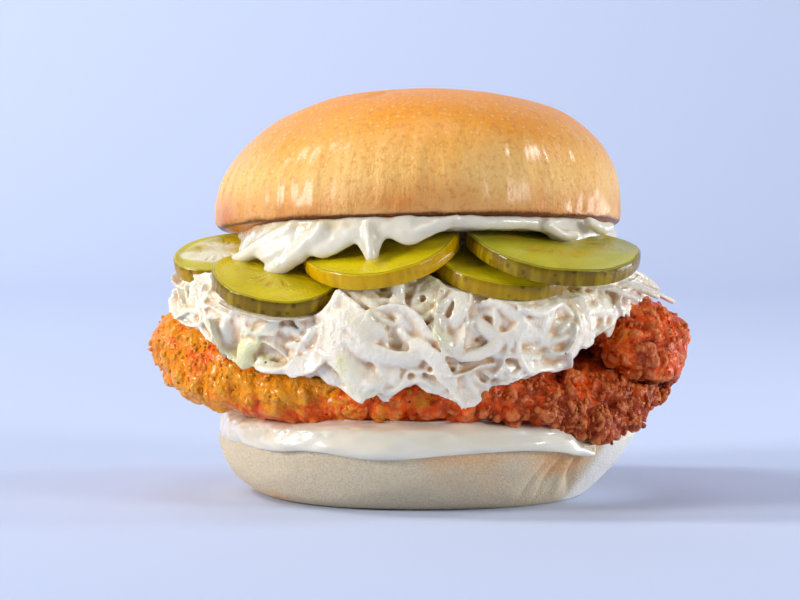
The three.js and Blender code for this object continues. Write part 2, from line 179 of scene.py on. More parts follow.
def meshOf(name, points, faceGroups):
    # Points in millimetres and lists of faces with the same number of corners, as one smooth mesh
    mesh = bpy.data.meshes.new(name)
    mesh.vertices.add(len(points))
    mesh.vertices.foreach_set("co", (points * mm).astype(np.float32).ravel())
    corners = np.concatenate([faces.ravel() for faces in faceGroups]).astype(np.int32)
    sizes = np.concatenate([np.full(len(faces), faces.shape[1]) for faces in faceGroups])
    mesh.loops.add(len(corners))
    mesh.loops.foreach_set("vertex_index", corners)
    mesh.polygons.add(len(sizes))
    mesh.polygons.foreach_set("loop_start", (np.cumsum(sizes) - sizes).astype(np.int32))
    mesh.polygons.foreach_set("use_smooth", np.ones(len(sizes), bool))
    mesh.update(calc_edges=True)
    mesh.validate()
    return mesh


def skinFaces(rows, columns):
    # Faces of a closed skin: a lower pole, rings of columns from low to high, and an upper pole
    ring = 1 + np.arange(rows - 1)[:, None] * columns + np.arange(columns)[None]
    after = np.roll(ring, -1, axis=1)
    sides = np.stack([ring[:-1], after[:-1], after[1:], ring[1:]], axis=-1).reshape(-1, 4)
    top = (rows - 1) * columns + 1
    low = np.stack([np.zeros(columns, int), after[0], ring[0]], axis=-1)
    high = np.stack([np.full(columns, top), ring[-1], after[-1]], axis=-1)
    return [sides, low, high]


def skinPoints(grid):
    # A grid of rows x columns x parts whose first and last rows shrink to poles
    return np.concatenate([grid[:1, 0], grid[1:-1].reshape(-1, grid.shape[2]), grid[-1:, 0]])


def gridParts(grid):
    # The points and face groups of a grid whose first and last rows are poles
    return skinPoints(grid), skinFaces(grid.shape[0] - 1, grid.shape[1])


def closedSkin(name, grid):
    # The same as a mesh
    return meshOf(name, *gridParts(grid))


def tubeBatch(rings):
    # Many closed tubes at once: rings is tubes x steps x corners x 3, and the ends are flat caps
    tubes, steps, corners = rings.shape[:3]
    points = rings.reshape(-1, 3)
    index = np.arange(len(points)).reshape(tubes, steps, corners)
    after = np.roll(index, -1, axis=2)
    sides = np.stack([index[:, :-1], after[:, :-1], after[:, 1:], index[:, 1:]], axis=-1).reshape(-1, 4)
    caps = np.concatenate([index[:, 0, ::-1], index[:, -1]])
    return points, [sides, caps]


def joinedPoints(parts):
    # Several (points, face groups) as one
    points = []
    groups = []
    count = 0
    for some, faces in parts:
        groups += [group + count for group in faces]
        points.append(some)
        count += len(some)
    return np.concatenate(points), groups


def setValue(mesh, name, values):
    # A number for each point, which a material reads by name
    layer = mesh.attributes.new(name, "FLOAT", "POINT")
    layer.data.foreach_set("value", np.asarray(values, np.float32).ravel())


def pointsOf(mesh):
    # The mesh's points, in millimetres
    flat = np.empty(len(mesh.vertices) * 3, np.float32)
    mesh.vertices.foreach_get("co", flat)
    return flat.reshape(-1, 3).astype(float) / mm


def normalsOf(mesh):
    # The unit normal at each point
    flat = np.empty(len(mesh.vertices) * 3, np.float32)
    mesh.vertex_normals.foreach_get("vector", flat)
    return flat.reshape(-1, 3).astype(float)


def movePoints(mesh, points):
    # The mesh's points put at new places, in millimetres
    mesh.vertices.foreach_set("co", (points * mm).astype(np.float32).ravel())
    mesh.update()


def evened(mesh, rounds, share):
    # The mesh's points after each has gone, many times, a share of the way to the mean of its neighbours
    pairs = np.empty(len(mesh.edges) * 2, np.int32)
    mesh.edges.foreach_get("vertices", pairs)
    a, b = pairs.reshape(-1, 2).T
    points = pointsOf(mesh)
    count = np.maximum(np.bincount(pairs, minlength=len(points)), 1)[:, None]
    for _ in range(rounds):
        near = [np.bincount(a, points[b, k], len(points)) + np.bincount(b, points[a, k], len(points))
                for k in range(3)]
        points = points + share * (np.stack(near, axis=-1) / count - points)
    return points


def crests(mesh, rounds, depth):
    # 0 in hollows that lie the depth below the evened surface, 0.5 level with it and 1 on crests
    above = ((pointsOf(mesh) - evened(mesh, rounds, 0.6)) * normalsOf(mesh)).sum(axis=1)
    return np.clip(0.5 + 0.5 * above / depth, 0, 1)


def fused(name, points, faceGroups, voxel):
    # One skin round everything in the mesh, by a voxel remesh
    rough = meshOf(name + "_rough", points, faceGroups)
    holder = bpy.data.objects.new(name + "_rough", rough)
    bpy.context.scene.collection.objects.link(holder)
    remesh = holder.modifiers.new("fuse", "REMESH")
    remesh.mode = "VOXEL"
    remesh.voxel_size = voxel * mm
    remesh.use_smooth_shade = True
    seen = holder.evaluated_get(bpy.context.evaluated_depsgraph_get())
    mesh = bpy.data.meshes.new_from_object(seen)
    mesh.name = name
    bpy.data.objects.remove(holder)
    bpy.data.meshes.remove(rough)
    return mesh


def thinned(mesh, hidden, keep):
    # Fewer faces where hidden is 1 and none lost where it is 0: keep is the share of all faces that stay
    holder = bpy.data.objects.new(mesh.name + "_thick", mesh)
    bpy.context.scene.collection.objects.link(holder)
    group = holder.vertex_groups.new(name="hidden")
    group.add(np.flatnonzero(hidden > 0.5).tolist(), 1.0, "REPLACE")
    fewer = holder.modifiers.new("thin", "DECIMATE")
    fewer.ratio = keep
    fewer.vertex_group = "hidden"
    fewer.vertex_group_factor = 1.0
    seen = holder.evaluated_get(bpy.context.evaluated_depsgraph_get())
    made = bpy.data.meshes.new_from_object(seen)
    bpy.data.objects.remove(holder)
    bpy.data.meshes.remove(mesh)
    made.polygons.foreach_set("use_smooth", np.ones(len(made.polygons), bool))
    return made


def addPiece(name, mesh, material, nodes=()):
    # A mesh as a piece that rides on the root body, with the CAD nodes that it replaces hidden
    piece = bpy.data.objects.new(name, mesh)
    bpy.context.scene.collection.objects.link(piece)
    mesh.materials.clear()
    mesh.materials.append(material)
    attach(piece, "root")
    if nodes:
        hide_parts(*nodes)
    triangles = sum(len(face.vertices) - 2 for face in mesh.polygons)
    print(f"{name}: {triangles} triangles")
    return piece


# Materials

def tint(red, green, blue):
    # A colour as it looks on screen, 0 to 255, made linear
    parts = [c / 255 for c in (red, green, blue)]
    linear = [c / 12.92 if c <= 0.04045 else ((c + 0.055) / 1.055) ** 2.4 for c in parts]
    return (*linear, 1)


def plug(tree, value, socket):
    # Another node's output linked into the socket, or a plain value set on it
    if isinstance(value, bpy.types.NodeSocket):
        tree.links.new(value, socket)
    else:
        socket.default_value = value


def add(tree, kind, settings=None, **inputs):
    # A node with its settings, and its inputs as values or as links from other nodes' outputs
    made = tree.nodes.new("ShaderNode" + kind)
    for key, value in (settings or {}).items():
        setattr(made, key, value)
    for key, value in inputs.items():
        byNumber = key[0] == "i" and key[1:].isdigit()
        plug(tree, value, made.inputs[int(key[1:]) if byNumber else key.replace("_", " ")])
    return made


def maths(tree, operation, a, b, clamp=False):
    # One sum of two numbers or outputs, clamped to 0 to 1 where asked
    return add(tree, "Math", {"operation": operation, "use_clamp": clamp}, i0=a, i1=b).outputs[0]


def times(tree, a, b, clamp=False):
    return maths(tree, "MULTIPLY", a, b, clamp)


def plus(tree, a, b, clamp=False):
    return maths(tree, "ADD", a, b, clamp)


def minus(tree, a, b):
    return maths(tree, "SUBTRACT", a, b)


def mixed(tree, share, a, b):
    # Two colours mixed by a share from 0 to 1
    return add(tree, "Mix", {"data_type": "RGBA"}, i0=share, i6=a, i7=b).outputs[2]


def banded(tree, value, low, high):
    # 0 at low, 1 at high and beyond, softly between
    made = add(tree, "MapRange", {"interpolation_type": "SMOOTHSTEP"}, i0=value, i1=low, i2=high)
    return made.outputs[0]


def attribute(tree, name):
    # The number that setValue kept at each point
    return add(tree, "Attribute", {"attribute_name": name}).outputs["Fac"]


def newGroup(name, inputs, outputs):
    # A shader node group with named number inputs and outputs
    tree = bpy.data.node_groups.new(name, "ShaderNodeTree")
    for label, value in inputs.items():
        socket = tree.interface.new_socket(name=label, in_out="INPUT", socket_type="NodeSocketFloat")
        socket.default_value = value
    for label in outputs:
        tree.interface.new_socket(name=label, in_out="OUTPUT", socket_type="NodeSocketFloat")
    return tree, tree.nodes.new("NodeGroupInput"), tree.nodes.new("NodeGroupOutput")


def makeMottleGroup():
    # Soft patches of two sizes on Object coordinates: Patches from 0 to 1, and Fine for the small ones
    sizes = {"Patch Scale": 60, "Fine Scale": 400, "Contrast": 1}
    tree, entry, leave = newGroup("mottle", sizes, ("Patches", "Fine"))
    place = add(tree, "TexCoord").outputs["Object"]
    large = add(tree, "TexNoise", Vector=place, Scale=entry.outputs[0], Detail=3.0)
    small = add(tree, "TexNoise", Vector=place, Scale=entry.outputs[1], Detail=4.0, Roughness=0.6)
    for socket, source in zip(leave.inputs, (large, small)):
        centred = minus(tree, source.outputs["Fac"], 0.5)
        spread = times(tree, centred, times(tree, entry.outputs[2], 2.4))
        tree.links.new(plus(tree, spread, 0.5, clamp=True), socket)
    return tree


def makeSpecksGroup():
    # Small round spots on Object coordinates: 1 in a spot, and only some of the cells have one
    tree, entry, leave = newGroup("specks", {"Scale": 300, "Size": 0.2, "Share": 0.5}, ("Spots",))
    place = add(tree, "TexCoord").outputs["Object"]
    cells = add(tree, "TexVoronoi", Vector=place, Scale=entry.outputs[0])
    near = maths(tree, "LESS_THAN", cells.outputs["Distance"], entry.outputs[1])
    picked = add(tree, "SeparateColor", Color=cells.outputs["Color"]).outputs[0]
    some = maths(tree, "LESS_THAN", picked, entry.outputs[2])
    tree.links.new(times(tree, near, some), leave.inputs[0])
    return tree


mottleGroup = makeMottleGroup()
specksGroup = makeSpecksGroup()


def grouped(tree, group, *values):
    # A shader node group placed in a material with its own values
    made = tree.nodes.new("ShaderNodeGroup")
    made.node_tree = group
    for socket, value in zip(made.inputs, values):
        socket.default_value = value
    return made.outputs


def newMaterial(name):
    # A material with nothing but its shader and output
    material = bpy.data.materials.new(name)
    material.use_nodes = True
    tree = material.node_tree
    tree.nodes.clear()
    shader = tree.nodes.new("ShaderNodeBsdfPrincipled")
    output = tree.nodes.new("ShaderNodeOutputMaterial")
    tree.links.new(shader.outputs[0], output.inputs[0])
    return material, tree, shader


def setShader(tree, shader, **inputs):
    # Values and links for the shader's own sockets, by name
    for key, value in inputs.items():
        plug(tree, value, shader.inputs[key.replace("_", " ")])


def relief(tree, height, distance):
    # A bump whose height of 1 stands that many millimetres proud
    return add(tree, "Bump", Height=height, Distance=distance * mm, Strength=1.0).outputs[0]


# Looks of each material: its colours; for mottle and flaking the patches and grains in a metre, and their
# contrast; for specks the cells in a metre, a spot's size and the share of cells that have one; relief in mm
crustLooks = {
    "top": tint(252, 160, 16),
    # side: the paler, less baked side, made paler still as painted sheen
    "side": tint(246, 200, 122),
    # deep: darker grains, and the painted shade low on the dome
    "deep": tint(206, 118, 42),
    "rim": tint(112, 50, 16),
    "toast": tint(226, 140, 52),
    "blister": tint(255, 214, 140),
    "mottle": (42, 700, 1.0),
    "specks": (800, 0.34, 0.35),
    "streaks": (44, 110.0),  # how fine the wrinkles are round the side, and up it in a metre
    "relief": 0.22,
}


def crustMaterial():
    # Baked crust: golden brown on top, paler and finely wrinkled down the side (partly painted sheen),
    # darker low down (painted shade and toasting), toasted where it was cut
    material, tree, shader = newMaterial("baked_crust")
    patches, fine = grouped(tree, mottleGroup, *crustLooks["mottle"])
    spots = grouped(tree, specksGroup, *crustLooks["specks"])[0]
    high = attribute(tree, "high")
    rim = attribute(tree, "rim")
    face = attribute(tree, "face")
    place = add(tree, "TexCoord").outputs["Object"]
    parts = add(tree, "SeparateXYZ", Vector=place).outputs
    level = add(tree, "CombineXYZ", X=parts[0], Y=parts[1]).outputs[0]
    ray = add(tree, "VectorMath", {"operation": "NORMALIZE"}, i0=level).outputs[0]
    acrossScale, upScale = crustLooks["streaks"]
    scales = (acrossScale, acrossScale, 0)
    across = add(tree, "VectorMath", {"operation": "MULTIPLY"}, i0=ray, i1=scales).outputs[0]
    along = add(tree, "CombineXYZ", Z=times(tree, parts[2], upScale)).outputs[0]
    grain = add(tree, "VectorMath", {"operation": "ADD"}, i0=across, i1=along).outputs[0]
    streaks = add(tree, "TexNoise", Vector=grain, Scale=1.0, Detail=3.0, Roughness=0.6).outputs["Fac"]
    onSide = banded(tree, high, 0.75, 0.35)
    edge = plus(tree, high, times(tree, patches, 0.3))
    # The paler side colour is partly less baked crust and partly painted sheen
    color = mixed(tree, banded(tree, edge, 0.2, 1.0), crustLooks["side"], crustLooks["top"])
    grains = times(tree, banded(tree, fine, 0.5, 0.1), 0.4)
    color = mixed(tree, grains, color, crustLooks["deep"])
    color = mixed(tree, times(tree, spots, 0.5), color, crustLooks["blister"])
    lines = times(tree, banded(tree, streaks, 0.52, 0.68), times(tree, onSide, 0.25))
    color = mixed(tree, lines, color, crustLooks["blister"])
    # Darker low on the dome: painted shade where the dome turns down, and a browner toasted band
    browned = times(tree, banded(tree, high, 0.34, 0.06), plus(tree, patches, 0.2))
    color = mixed(tree, times(tree, browned, 0.8), color, crustLooks["deep"])
    color = mixed(tree, face, color, crustLooks["toast"])
    burnt = times(tree, rim, plus(tree, fine, 0.8), clamp=True)
    color = mixed(tree, burnt, color, crustLooks["rim"])
    wrinkles = times(tree, times(tree, streaks, onSide), 1.2)
    height = plus(tree, plus(tree, fine, times(tree, spots, 0.6)), wrinkles)
    rough = plus(tree, times(tree, fine, 0.22), 0.3)
    glazed = plus(tree, times(tree, attribute(tree, "glaze"), 0.75), 0.25)
    shine = plus(tree, times(tree, banded(tree, high, 0.97, 0.5), glazed), 0.08)
    setShader(tree, shader, Base_Color=color, Roughness=rough,
              Normal=relief(tree, height, crustLooks["relief"]), Subsurface_Weight=0.1,
              Subsurface_Radius=(0.9, 0.45, 0.2), Subsurface_Scale=1.2 * mm,
              Coat_Weight=shine, Coat_Roughness=0.2, Specular_IOR_Level=0.2)
    return material


crumbLooks = {
    "pale": tint(226, 208, 176),
    "tan": tint(246, 192, 134),
    "flour": tint(240, 232, 214),
    # The near-white of the floury patch, which is partly painted light
    "litFlourWhite": tint(252, 248, 240),
    "shade": tint(196, 174, 134),
    "mottle": (60, 1900, 1.2),
    "relief": 0.2,
}


def crumbMaterial():
    # Floury side of the lower bun: pale, with tan patches, a fine dusty grain, and a floury patch on the
    # right facet painted near-white, partly as painted light
    material, tree, shader = newMaterial("floury_crust")
    patches, fine = grouped(tree, mottleGroup, *crumbLooks["mottle"])
    tan = attribute(tree, "tan")
    share = plus(tree, times(tree, minus(tree, patches, 0.5), 0.7), tan)
    color = mixed(tree, banded(tree, share, 0.1, 0.9), crumbLooks["pale"], crumbLooks["tan"])
    # The floury patch turns near-white, partly as painted light on that facet
    color = mixed(tree, attribute(tree, "flour"), color, crumbLooks["litFlourWhite"])
    color = mixed(tree, times(tree, banded(tree, fine, 0.5, 0.9), 0.4), color, crumbLooks["flour"])
    color = mixed(tree, times(tree, banded(tree, fine, 0.45, 0.1), 0.35), color, crumbLooks["shade"])
    setShader(tree, shader, Base_Color=color, Roughness=0.9, Normal=relief(tree, fine, crumbLooks["relief"]),
              Subsurface_Weight=0.1, Subsurface_Radius=(1, 0.7, 0.4), Subsurface_Scale=1.5 * mm,
              Specular_IOR_Level=0.2)
    return material


batterLooks = {
    "gold": tint(255, 156, 6),
    "orange": tint(255, 90, 0),
    "red": tint(168, 60, 10),
    # dark: painted shade for the creases
    "dark": tint(92, 20, 0),
    # The next two colours are painted highlight on the crests, gold on the left and tan on the right
    "crestHighlightGold": tint(255, 184, 58),
    "crestHighlightTan": tint(242, 142, 76),
    "pepper": tint(50, 22, 12),
    "mottle": (120, 1100, 1.4),
    "flaking": (420, 2200, 1.5),
    "specks": (300, 0.11, 0.2),
    "relief": 0.4,
}


def batterMaterial():
    # Fried crust: gold on the left to red-brown on the right, with painted shade dark in its creases,
    # painted highlight on its crests and a film of oil
    material, tree, shader = newMaterial("fried_batter")
    patches, fine = grouped(tree, mottleGroup, *batterLooks["mottle"])
    flakes = grouped(tree, mottleGroup, *batterLooks["flaking"])[0]
    spots = grouped(tree, specksGroup, *batterLooks["specks"])[0]
    crest = attribute(tree, "crest")
    side = attribute(tree, "brown")
    share = plus(tree, side, times(tree, minus(tree, patches, 0.5), 0.55))
    share = plus(tree, share, times(tree, minus(tree, flakes, 0.5), 0.22))
    color = mixed(tree, banded(tree, share, 0.0, 0.5), batterLooks["gold"], batterLooks["orange"])
    color = mixed(tree, banded(tree, share, 0.45, 1.0), color, batterLooks["red"])
    uneven = plus(tree, crest, times(tree, minus(tree, fine, 0.5), 0.16))
    # Painted shade: the creases darkened, deeper on the right
    depth = plus(tree, times(tree, side, 0.45), 0.34)
    creased = times(tree, banded(tree, uneven, 0.42, 0.1), depth)
    color = mixed(tree, creased, color, batterLooks["dark"])
    # Painted highlight: the crests turned gold on the left and tan on the right
    proud = times(tree, banded(tree, uneven, 0.5, 0.8), 0.7)
    lit = mixed(tree, banded(tree, side, 0.15, 0.6), batterLooks["crestHighlightGold"], batterLooks["crestHighlightTan"])
    color = mixed(tree, proud, color, lit)
    color = mixed(tree, times(tree, spots, 0.8), color, batterLooks["pepper"])
    rough = plus(tree, times(tree, patches, 0.3), 0.22)
    height = plus(tree, fine, flakes)
    oily = minus(tree, 0.36, times(tree, side, 0.2))
    setShader(tree, shader, Base_Color=color, Roughness=rough,
              Normal=relief(tree, height, batterLooks["relief"]),
              Subsurface_Weight=0.1, Subsurface_Radius=(1, 0.4, 0.15), Subsurface_Scale=1.0 * mm,
              Coat_Weight=oily, Coat_Roughness=0.12, Specular_IOR_Level=0.15)
    return material


sauceLooks = {
    "white": tint(234, 229, 214),
    # thick: the warmer colour of thicker sauce, also used as painted shade
    "thick": tint(222, 208, 172),
    "mottle": (90, 500, 1.0),
    "relief": 0.04,
}


def sauceMaterial():
    # Thick white sauce: smooth, wet and a little see-through, warmer where it lies thick and with painted
    # shade in its hollows
    material, tree, shader = newMaterial("white_sauce")
    patches, fine = grouped(tree, mottleGroup, *sauceLooks["mottle"])
    crest = attribute(tree, "crest")
    # The hollows take the warmer thick colour: thicker sauce and painted shade
    share = plus(tree, times(tree, patches, 0.4), banded(tree, crest, 0.5, 0.1), clamp=True)
    color = mixed(tree, share, sauceLooks["white"], sauceLooks["thick"])
    setShader(tree, shader, Base_Color=color, Roughness=0.32,
              Normal=relief(tree, fine, sauceLooks["relief"]),
              Subsurface_Weight=0.3, Subsurface_Radius=(1, 0.85, 0.6), Subsurface_Scale=1.6 * mm,
              Coat_Weight=0.7, Coat_Roughness=0.07)
    return material


slawLooks = {
    "cream": tint(252, 243, 224),
    "leaf": tint(238, 232, 176),
    # The next two colours are painted shade for the hollows and the deep gaps
    "hollowShade": tint(212, 152, 70),
    "deepShade": tint(214, 132, 24),
    "pepper": tint(46, 36, 26),
    "mottle": (110, 800, 1.4),
    "specks": (240, 0.085, 0.12),
    "relief": 0.18,
}


def slawMaterial():
    # Cabbage in creamy sauce: white outside, painted shade in warm tints in the hollows, gaps and sunk
    # places, some strips yellow-green
    material, tree, shader = newMaterial("creamy_slaw")
    patches, fine = grouped(tree, mottleGroup, *slawLooks["mottle"])
    spots = grouped(tree, specksGroup, *slawLooks["specks"])[0]
    crest = attribute(tree, "crest")
    deep = attribute(tree, "deep")
    tone = attribute(tree, "tone")
    leafy = times(tree, banded(tree, tone, 0.3, 0.95), plus(tree, patches, 0.4), clamp=True)
    color = mixed(tree, leafy, slawLooks["cream"], slawLooks["leaf"])
    # Painted shade: hollows and deep gaps darker and warmer
    hollow = times(tree, banded(tree, crest, 0.56, 0.26), 0.85)
    color = mixed(tree, hollow, color, slawLooks["hollowShade"])
    gaps = times(tree, banded(tree, crest, 0.3, 0.1), banded(tree, patches, 0.25, 0.6))
    color = mixed(tree, gaps, color, slawLooks["deepShade"])
    # Painted shade in the sunk places marked deep
    color = mixed(tree, times(tree, deep, banded(tree, patches, 0.2, 0.7)), color, slawLooks["deepShade"])
    color = mixed(tree, times(tree, spots, 0.85), color, slawLooks["pepper"])
    setShader(tree, shader, Base_Color=color, Roughness=0.34, Normal=relief(tree, fine, slawLooks["relief"]),
              Subsurface_Weight=0.12, Subsurface_Radius=(1, 0.8, 0.5), Subsurface_Scale=0.9 * mm,
              Coat_Weight=0.8, Coat_Roughness=0.07)
    return material


pickleLooks = {
    "flesh": tint(228, 206, 8),
    "green": tint(184, 184, 52),
    "middle": tint(178, 156, 4),
    "peel": tint(208, 160, 0),
    "oldPeel": tint(112, 88, 4),
    "line": tint(76, 78, 8),
    "blotch": tint(74, 56, 4),
    "smear": tint(240, 236, 210),
    "mottle": (130, 1500, 1.3),
    "specks": (520, 0.34, 0.4),
    "relief": 0.07,
}


def pickleMaterial():
    # Wet pickle: yellow-green flesh, a thin dark line at the peel, and a streaky, spotted side
    material, tree, shader = newMaterial("pickle")
    patches, fine = grouped(tree, mottleGroup, *pickleLooks["mottle"])
    spots = grouped(tree, specksGroup, *pickleLooks["specks"])[0]
    kept = ("share", "peel", "smear", "seeds", "streak", "age", "rind", "level")
    share, peel, smear, seeds, streak, age, rind, level = (attribute(tree, name) for name in kept)
    flesh = mixed(tree, age, pickleLooks["flesh"], pickleLooks["green"])
    color = mixed(tree, times(tree, patches, 0.45), flesh, pickleLooks["middle"])
    color = mixed(tree, times(tree, fine, 0.25), color, pickleLooks["middle"])
    color = mixed(tree, times(tree, seeds, 0.75), color, pickleLooks["peel"])
    inner = times(tree, banded(tree, share, 0.72, 0.6), banded(tree, share, 0.0, 0.05))
    color = mixed(tree, times(tree, inner, 0.3), color, pickleLooks["middle"])
    skin = mixed(tree, rind, pickleLooks["peel"], pickleLooks["oldPeel"])
    skin = mixed(tree, times(tree, banded(tree, streak, 0.4, 1.0), 0.2), skin, pickleLooks["flesh"])
    dots = times(tree, spots, plus(tree, times(tree, rind, 0.5), 0.12))
    edge = times(tree, banded(tree, level, 0.55, 1.0), plus(tree, rind, 0.2))
    low = times(tree, banded(tree, streak, 0.5, -0.2), 0.18)
    dark = plus(tree, plus(tree, dots, low), times(tree, edge, 0.55), clamp=True)
    skin = mixed(tree, dark, skin, pickleLooks["blotch"])
    color = mixed(tree, peel, color, skin)
    color = mixed(tree, times(tree, banded(tree, share, 0.962, 0.99), 0.8), color, pickleLooks["line"])
    film = banded(tree, plus(tree, smear, times(tree, fine, 0.15)), 0.4, 0.8)
    color = mixed(tree, times(tree, film, 0.85), color, pickleLooks["smear"])
    setShader(tree, shader, Base_Color=color, Roughness=0.26,
              Normal=relief(tree, fine, pickleLooks["relief"]),
              Subsurface_Weight=0.35, Subsurface_Radius=(1, 0.9, 0.2), Subsurface_Scale=2.5 * mm,
              Coat_Weight=0.34, Coat_Roughness=0.08, Specular_IOR_Level=0.1)
    return material


# Bun crown
crown = {
    "middle": (-1, 0),
    "radius": 50.2,
    "dome": 34,
    "cutHeight": 66.3,
    "fullness": 2.45,
    "lean": math.radians(6),
    "roll": math.radians(0.9),
    "shoulder": 2.2,
    "columns": 420,
    "rows": 160,
    "faceRows": 22,
    "edge": 1.2,  # how far the cut edge is drawn in
    "belly": 1.3,  # how far the toasted face swells down inside the sauce
    "dents": 0.45,
    "wrinkles": 0.28,
    "wrinkleSize": (2.2, 11),  # how far apart the wrinkles are round the side, and how long up it
    "glazeTurn": -0.95,  # the turn where the crust shines most, and how broad that is
    "glazeWidth": 0.5,
    "chip": (-2.06, 0.9),  # a small kink at the top left: its turn and depth
}


def crownPlaced(points):
    # From the bun's own frame: turned about Y by -roll, then about X by -lean, and lifted to the cut face
    turned = turnAbout(0, -crown["lean"]) @ turnAbout(1, -crown["roll"])
    place = np.array([*crown["middle"], crown["cutHeight"]])
    return points @ turned.T + place


def crownRadius(around):
    # The bun's radius for each turn: a circle with two and three shallow lobes
    uneven = 1 + 0.01 * np.sin(2 * around + 2) + 0.006 * np.sin(3 * around + 1)
    return crown["radius"] * uneven


def crownDome(around, angle):
    # A superellipse turned about Z, its top moved a little to the right
    out, high = roundedSquare(angle, crown["fullness"])
    radius = out * crownRadius(around)
    x = radius * np.cos(around) + crown["shoulder"] * high ** 2
    return np.stack([x, radius * np.sin(around), high * crown["dome"]], axis=-1)


def frameShift():
    # The part's source ends by moving the whole over the origin: how far, from the crown's packed box and
    # the box of the same dome on the source's own 42 columns and its rows 2 to 11
    around = np.arange(42) / 42 * fullTurn
    angle = (np.arange(2, 12)[:, None] / 11 - 0.1) / 0.9 * np.pi / 2
    coarse = crownPlaced(crownDome(around[None] + 0 * angle, angle + 0 * around[None]))
    lowest = np.array(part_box("bun_crown")[0]) / mm
    highest = np.array(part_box("bun_crown")[1]) / mm
    middle = (coarse.reshape(-1, 3).min(0) + coarse.reshape(-1, 3).max(0)) / 2
    moved = (lowest + highest) / 2 - middle
    return np.array([moved[0], moved[1], 0])


shift = frameShift()
print("frame shift", shift.round(3))


def makeCrown():
    # The dome's grid: rows on the cut face, then the superellipse, with the edge drawn in by a small round
    rows, columns, faceRows = crown["rows"], crown["columns"], crown["faceRows"]
    around = (np.arange(columns) / columns * fullTurn)[None]
    share = (np.arange(faceRows) / faceRows)[:, None] ** 0.7
    radius = share * (crownRadius(around) - crown["edge"])
    belly = -crown["belly"] * ease(1, 0.86, share) + 0 * around
    face = np.stack([radius * np.cos(around), radius * np.sin(around), belly], axis=-1)
    angle = (np.linspace(0, 1, rows - faceRows) ** 1.25 * np.pi / 2)[:, None]
    dome = crownDome(around + 0 * angle, angle + 0 * around)
    inward = crown["edge"] * np.exp(-dome[..., 2] / 0.8)
    dome[..., 0] -= inward * np.cos(around)
    dome[..., 1] -= inward * np.sin(around)
    grid = np.concatenate([face, dome])
    high = grid[..., 2] / crown["dome"]
    outward = np.stack([np.cos(around) + 0 * high, np.sin(around) + 0 * high, 0.9 * high], axis=-1)
    outward /= np.linalg.norm(outward, axis=-1, keepdims=True)
    onSide = ease(0.0, 0.06, high)
    dents = crown["dents"] * (softNoise(grid, 19, 3) + 0.5 * softNoise(grid, 9, 4)) * onSide
    apart, long = crown["wrinkleSize"]
    streaks = np.stack([around * 50 / apart + 0 * high, 0 * high, grid[..., 2] / long], axis=-1)
    wrinkles = crown["wrinkles"] * softNoise(streaks, 1.0, 5) * onSide * ease(0.85, 0.3, high)
    chipTurn, chipDepth = crown["chip"]
    chip = chipDepth * hill(turnBetween(around, chipTurn), 0, 0.1) * hill(high, 0.93, 0.04)
    grid = grid + outward * (dents + wrinkles - chip)[..., None]
    mesh = closedSkin("crown", crownPlaced(grid) + shift)
    onFace = (np.arange(rows)[:, None] + 0 * around) < faceRows
    edge = np.where(onFace, 0, hill(grid[..., 2], 0.1, 0.5 + 0.3 * softNoise(streaks, 1.7, 6)))
    glaze = hill(turnBetween(around, crown["glazeTurn"]), 0, crown["glazeWidth"]) * ease(0.2, 0.5, high)
    flat = skinPoints(np.stack([high, onFace, edge, glaze], axis=-1))
    for number, name in enumerate(("high", "face", "rim", "glaze")):
        setValue(mesh, name, flat[:, number])
    return mesh


# Bun heel
heel = {
    "middle": (1.5, 0),
    "footRadius": 39,
    "rimRadius": 52,
    "height": 17.5,
    "dentTurn": -0.82,  # where the pinched fold is, how high, how deep and how far from the bun's middle
    "dentHeight": 9,
    "dentDepth": 2.6,
    "dentReach": 46,
    "columns": 420,
    "rows": 120,
}
# The part's own rings: the share of the radius and of the side's height, and each ring's place in the rows
heelRings = np.array([[0, 0], [1, 0], [1, 0.13], [1, 0.3], [1, 0.48], [1, 0.66], [1, 0.83], [1, 1],
                      [0.985, 1.11], [0.94, 1.17], [0.6, 1.15], [0, 1.12]], float)
heelRingPlace = np.array([0, 0.1, 0.16, 0.24, 0.32, 0.42, 0.52, 0.66, 0.76, 0.82, 0.9, 1])
rimRing = 9
# Creases of the pinched fold: how far round from the dent in mm, how much they lean, depth and width
creases = [(-8.5, 0.5, 1.1, 0.9), (-3.6, 0.35, 1.5, 0.8), (0.6, -0.15, -1.6, 1.9), (4.4, -0.5, 1.5, 0.9)]


def heelRadius(around, share):
    # Opens out from the foot to the rim, rounder on the left and slanting on the right
    power = 1.5 - 0.35 * np.cos(around)
    opened = (1 - (1 - share) ** power) ** (1 / power)
    uneven = 1 + 0.012 * np.sin(2 * around + 0.6) + 0.008 * np.sin(5 * around)
    return (heel["footRadius"] + (heel["rimRadius"] - heel["footRadius"]) * opened) * uneven


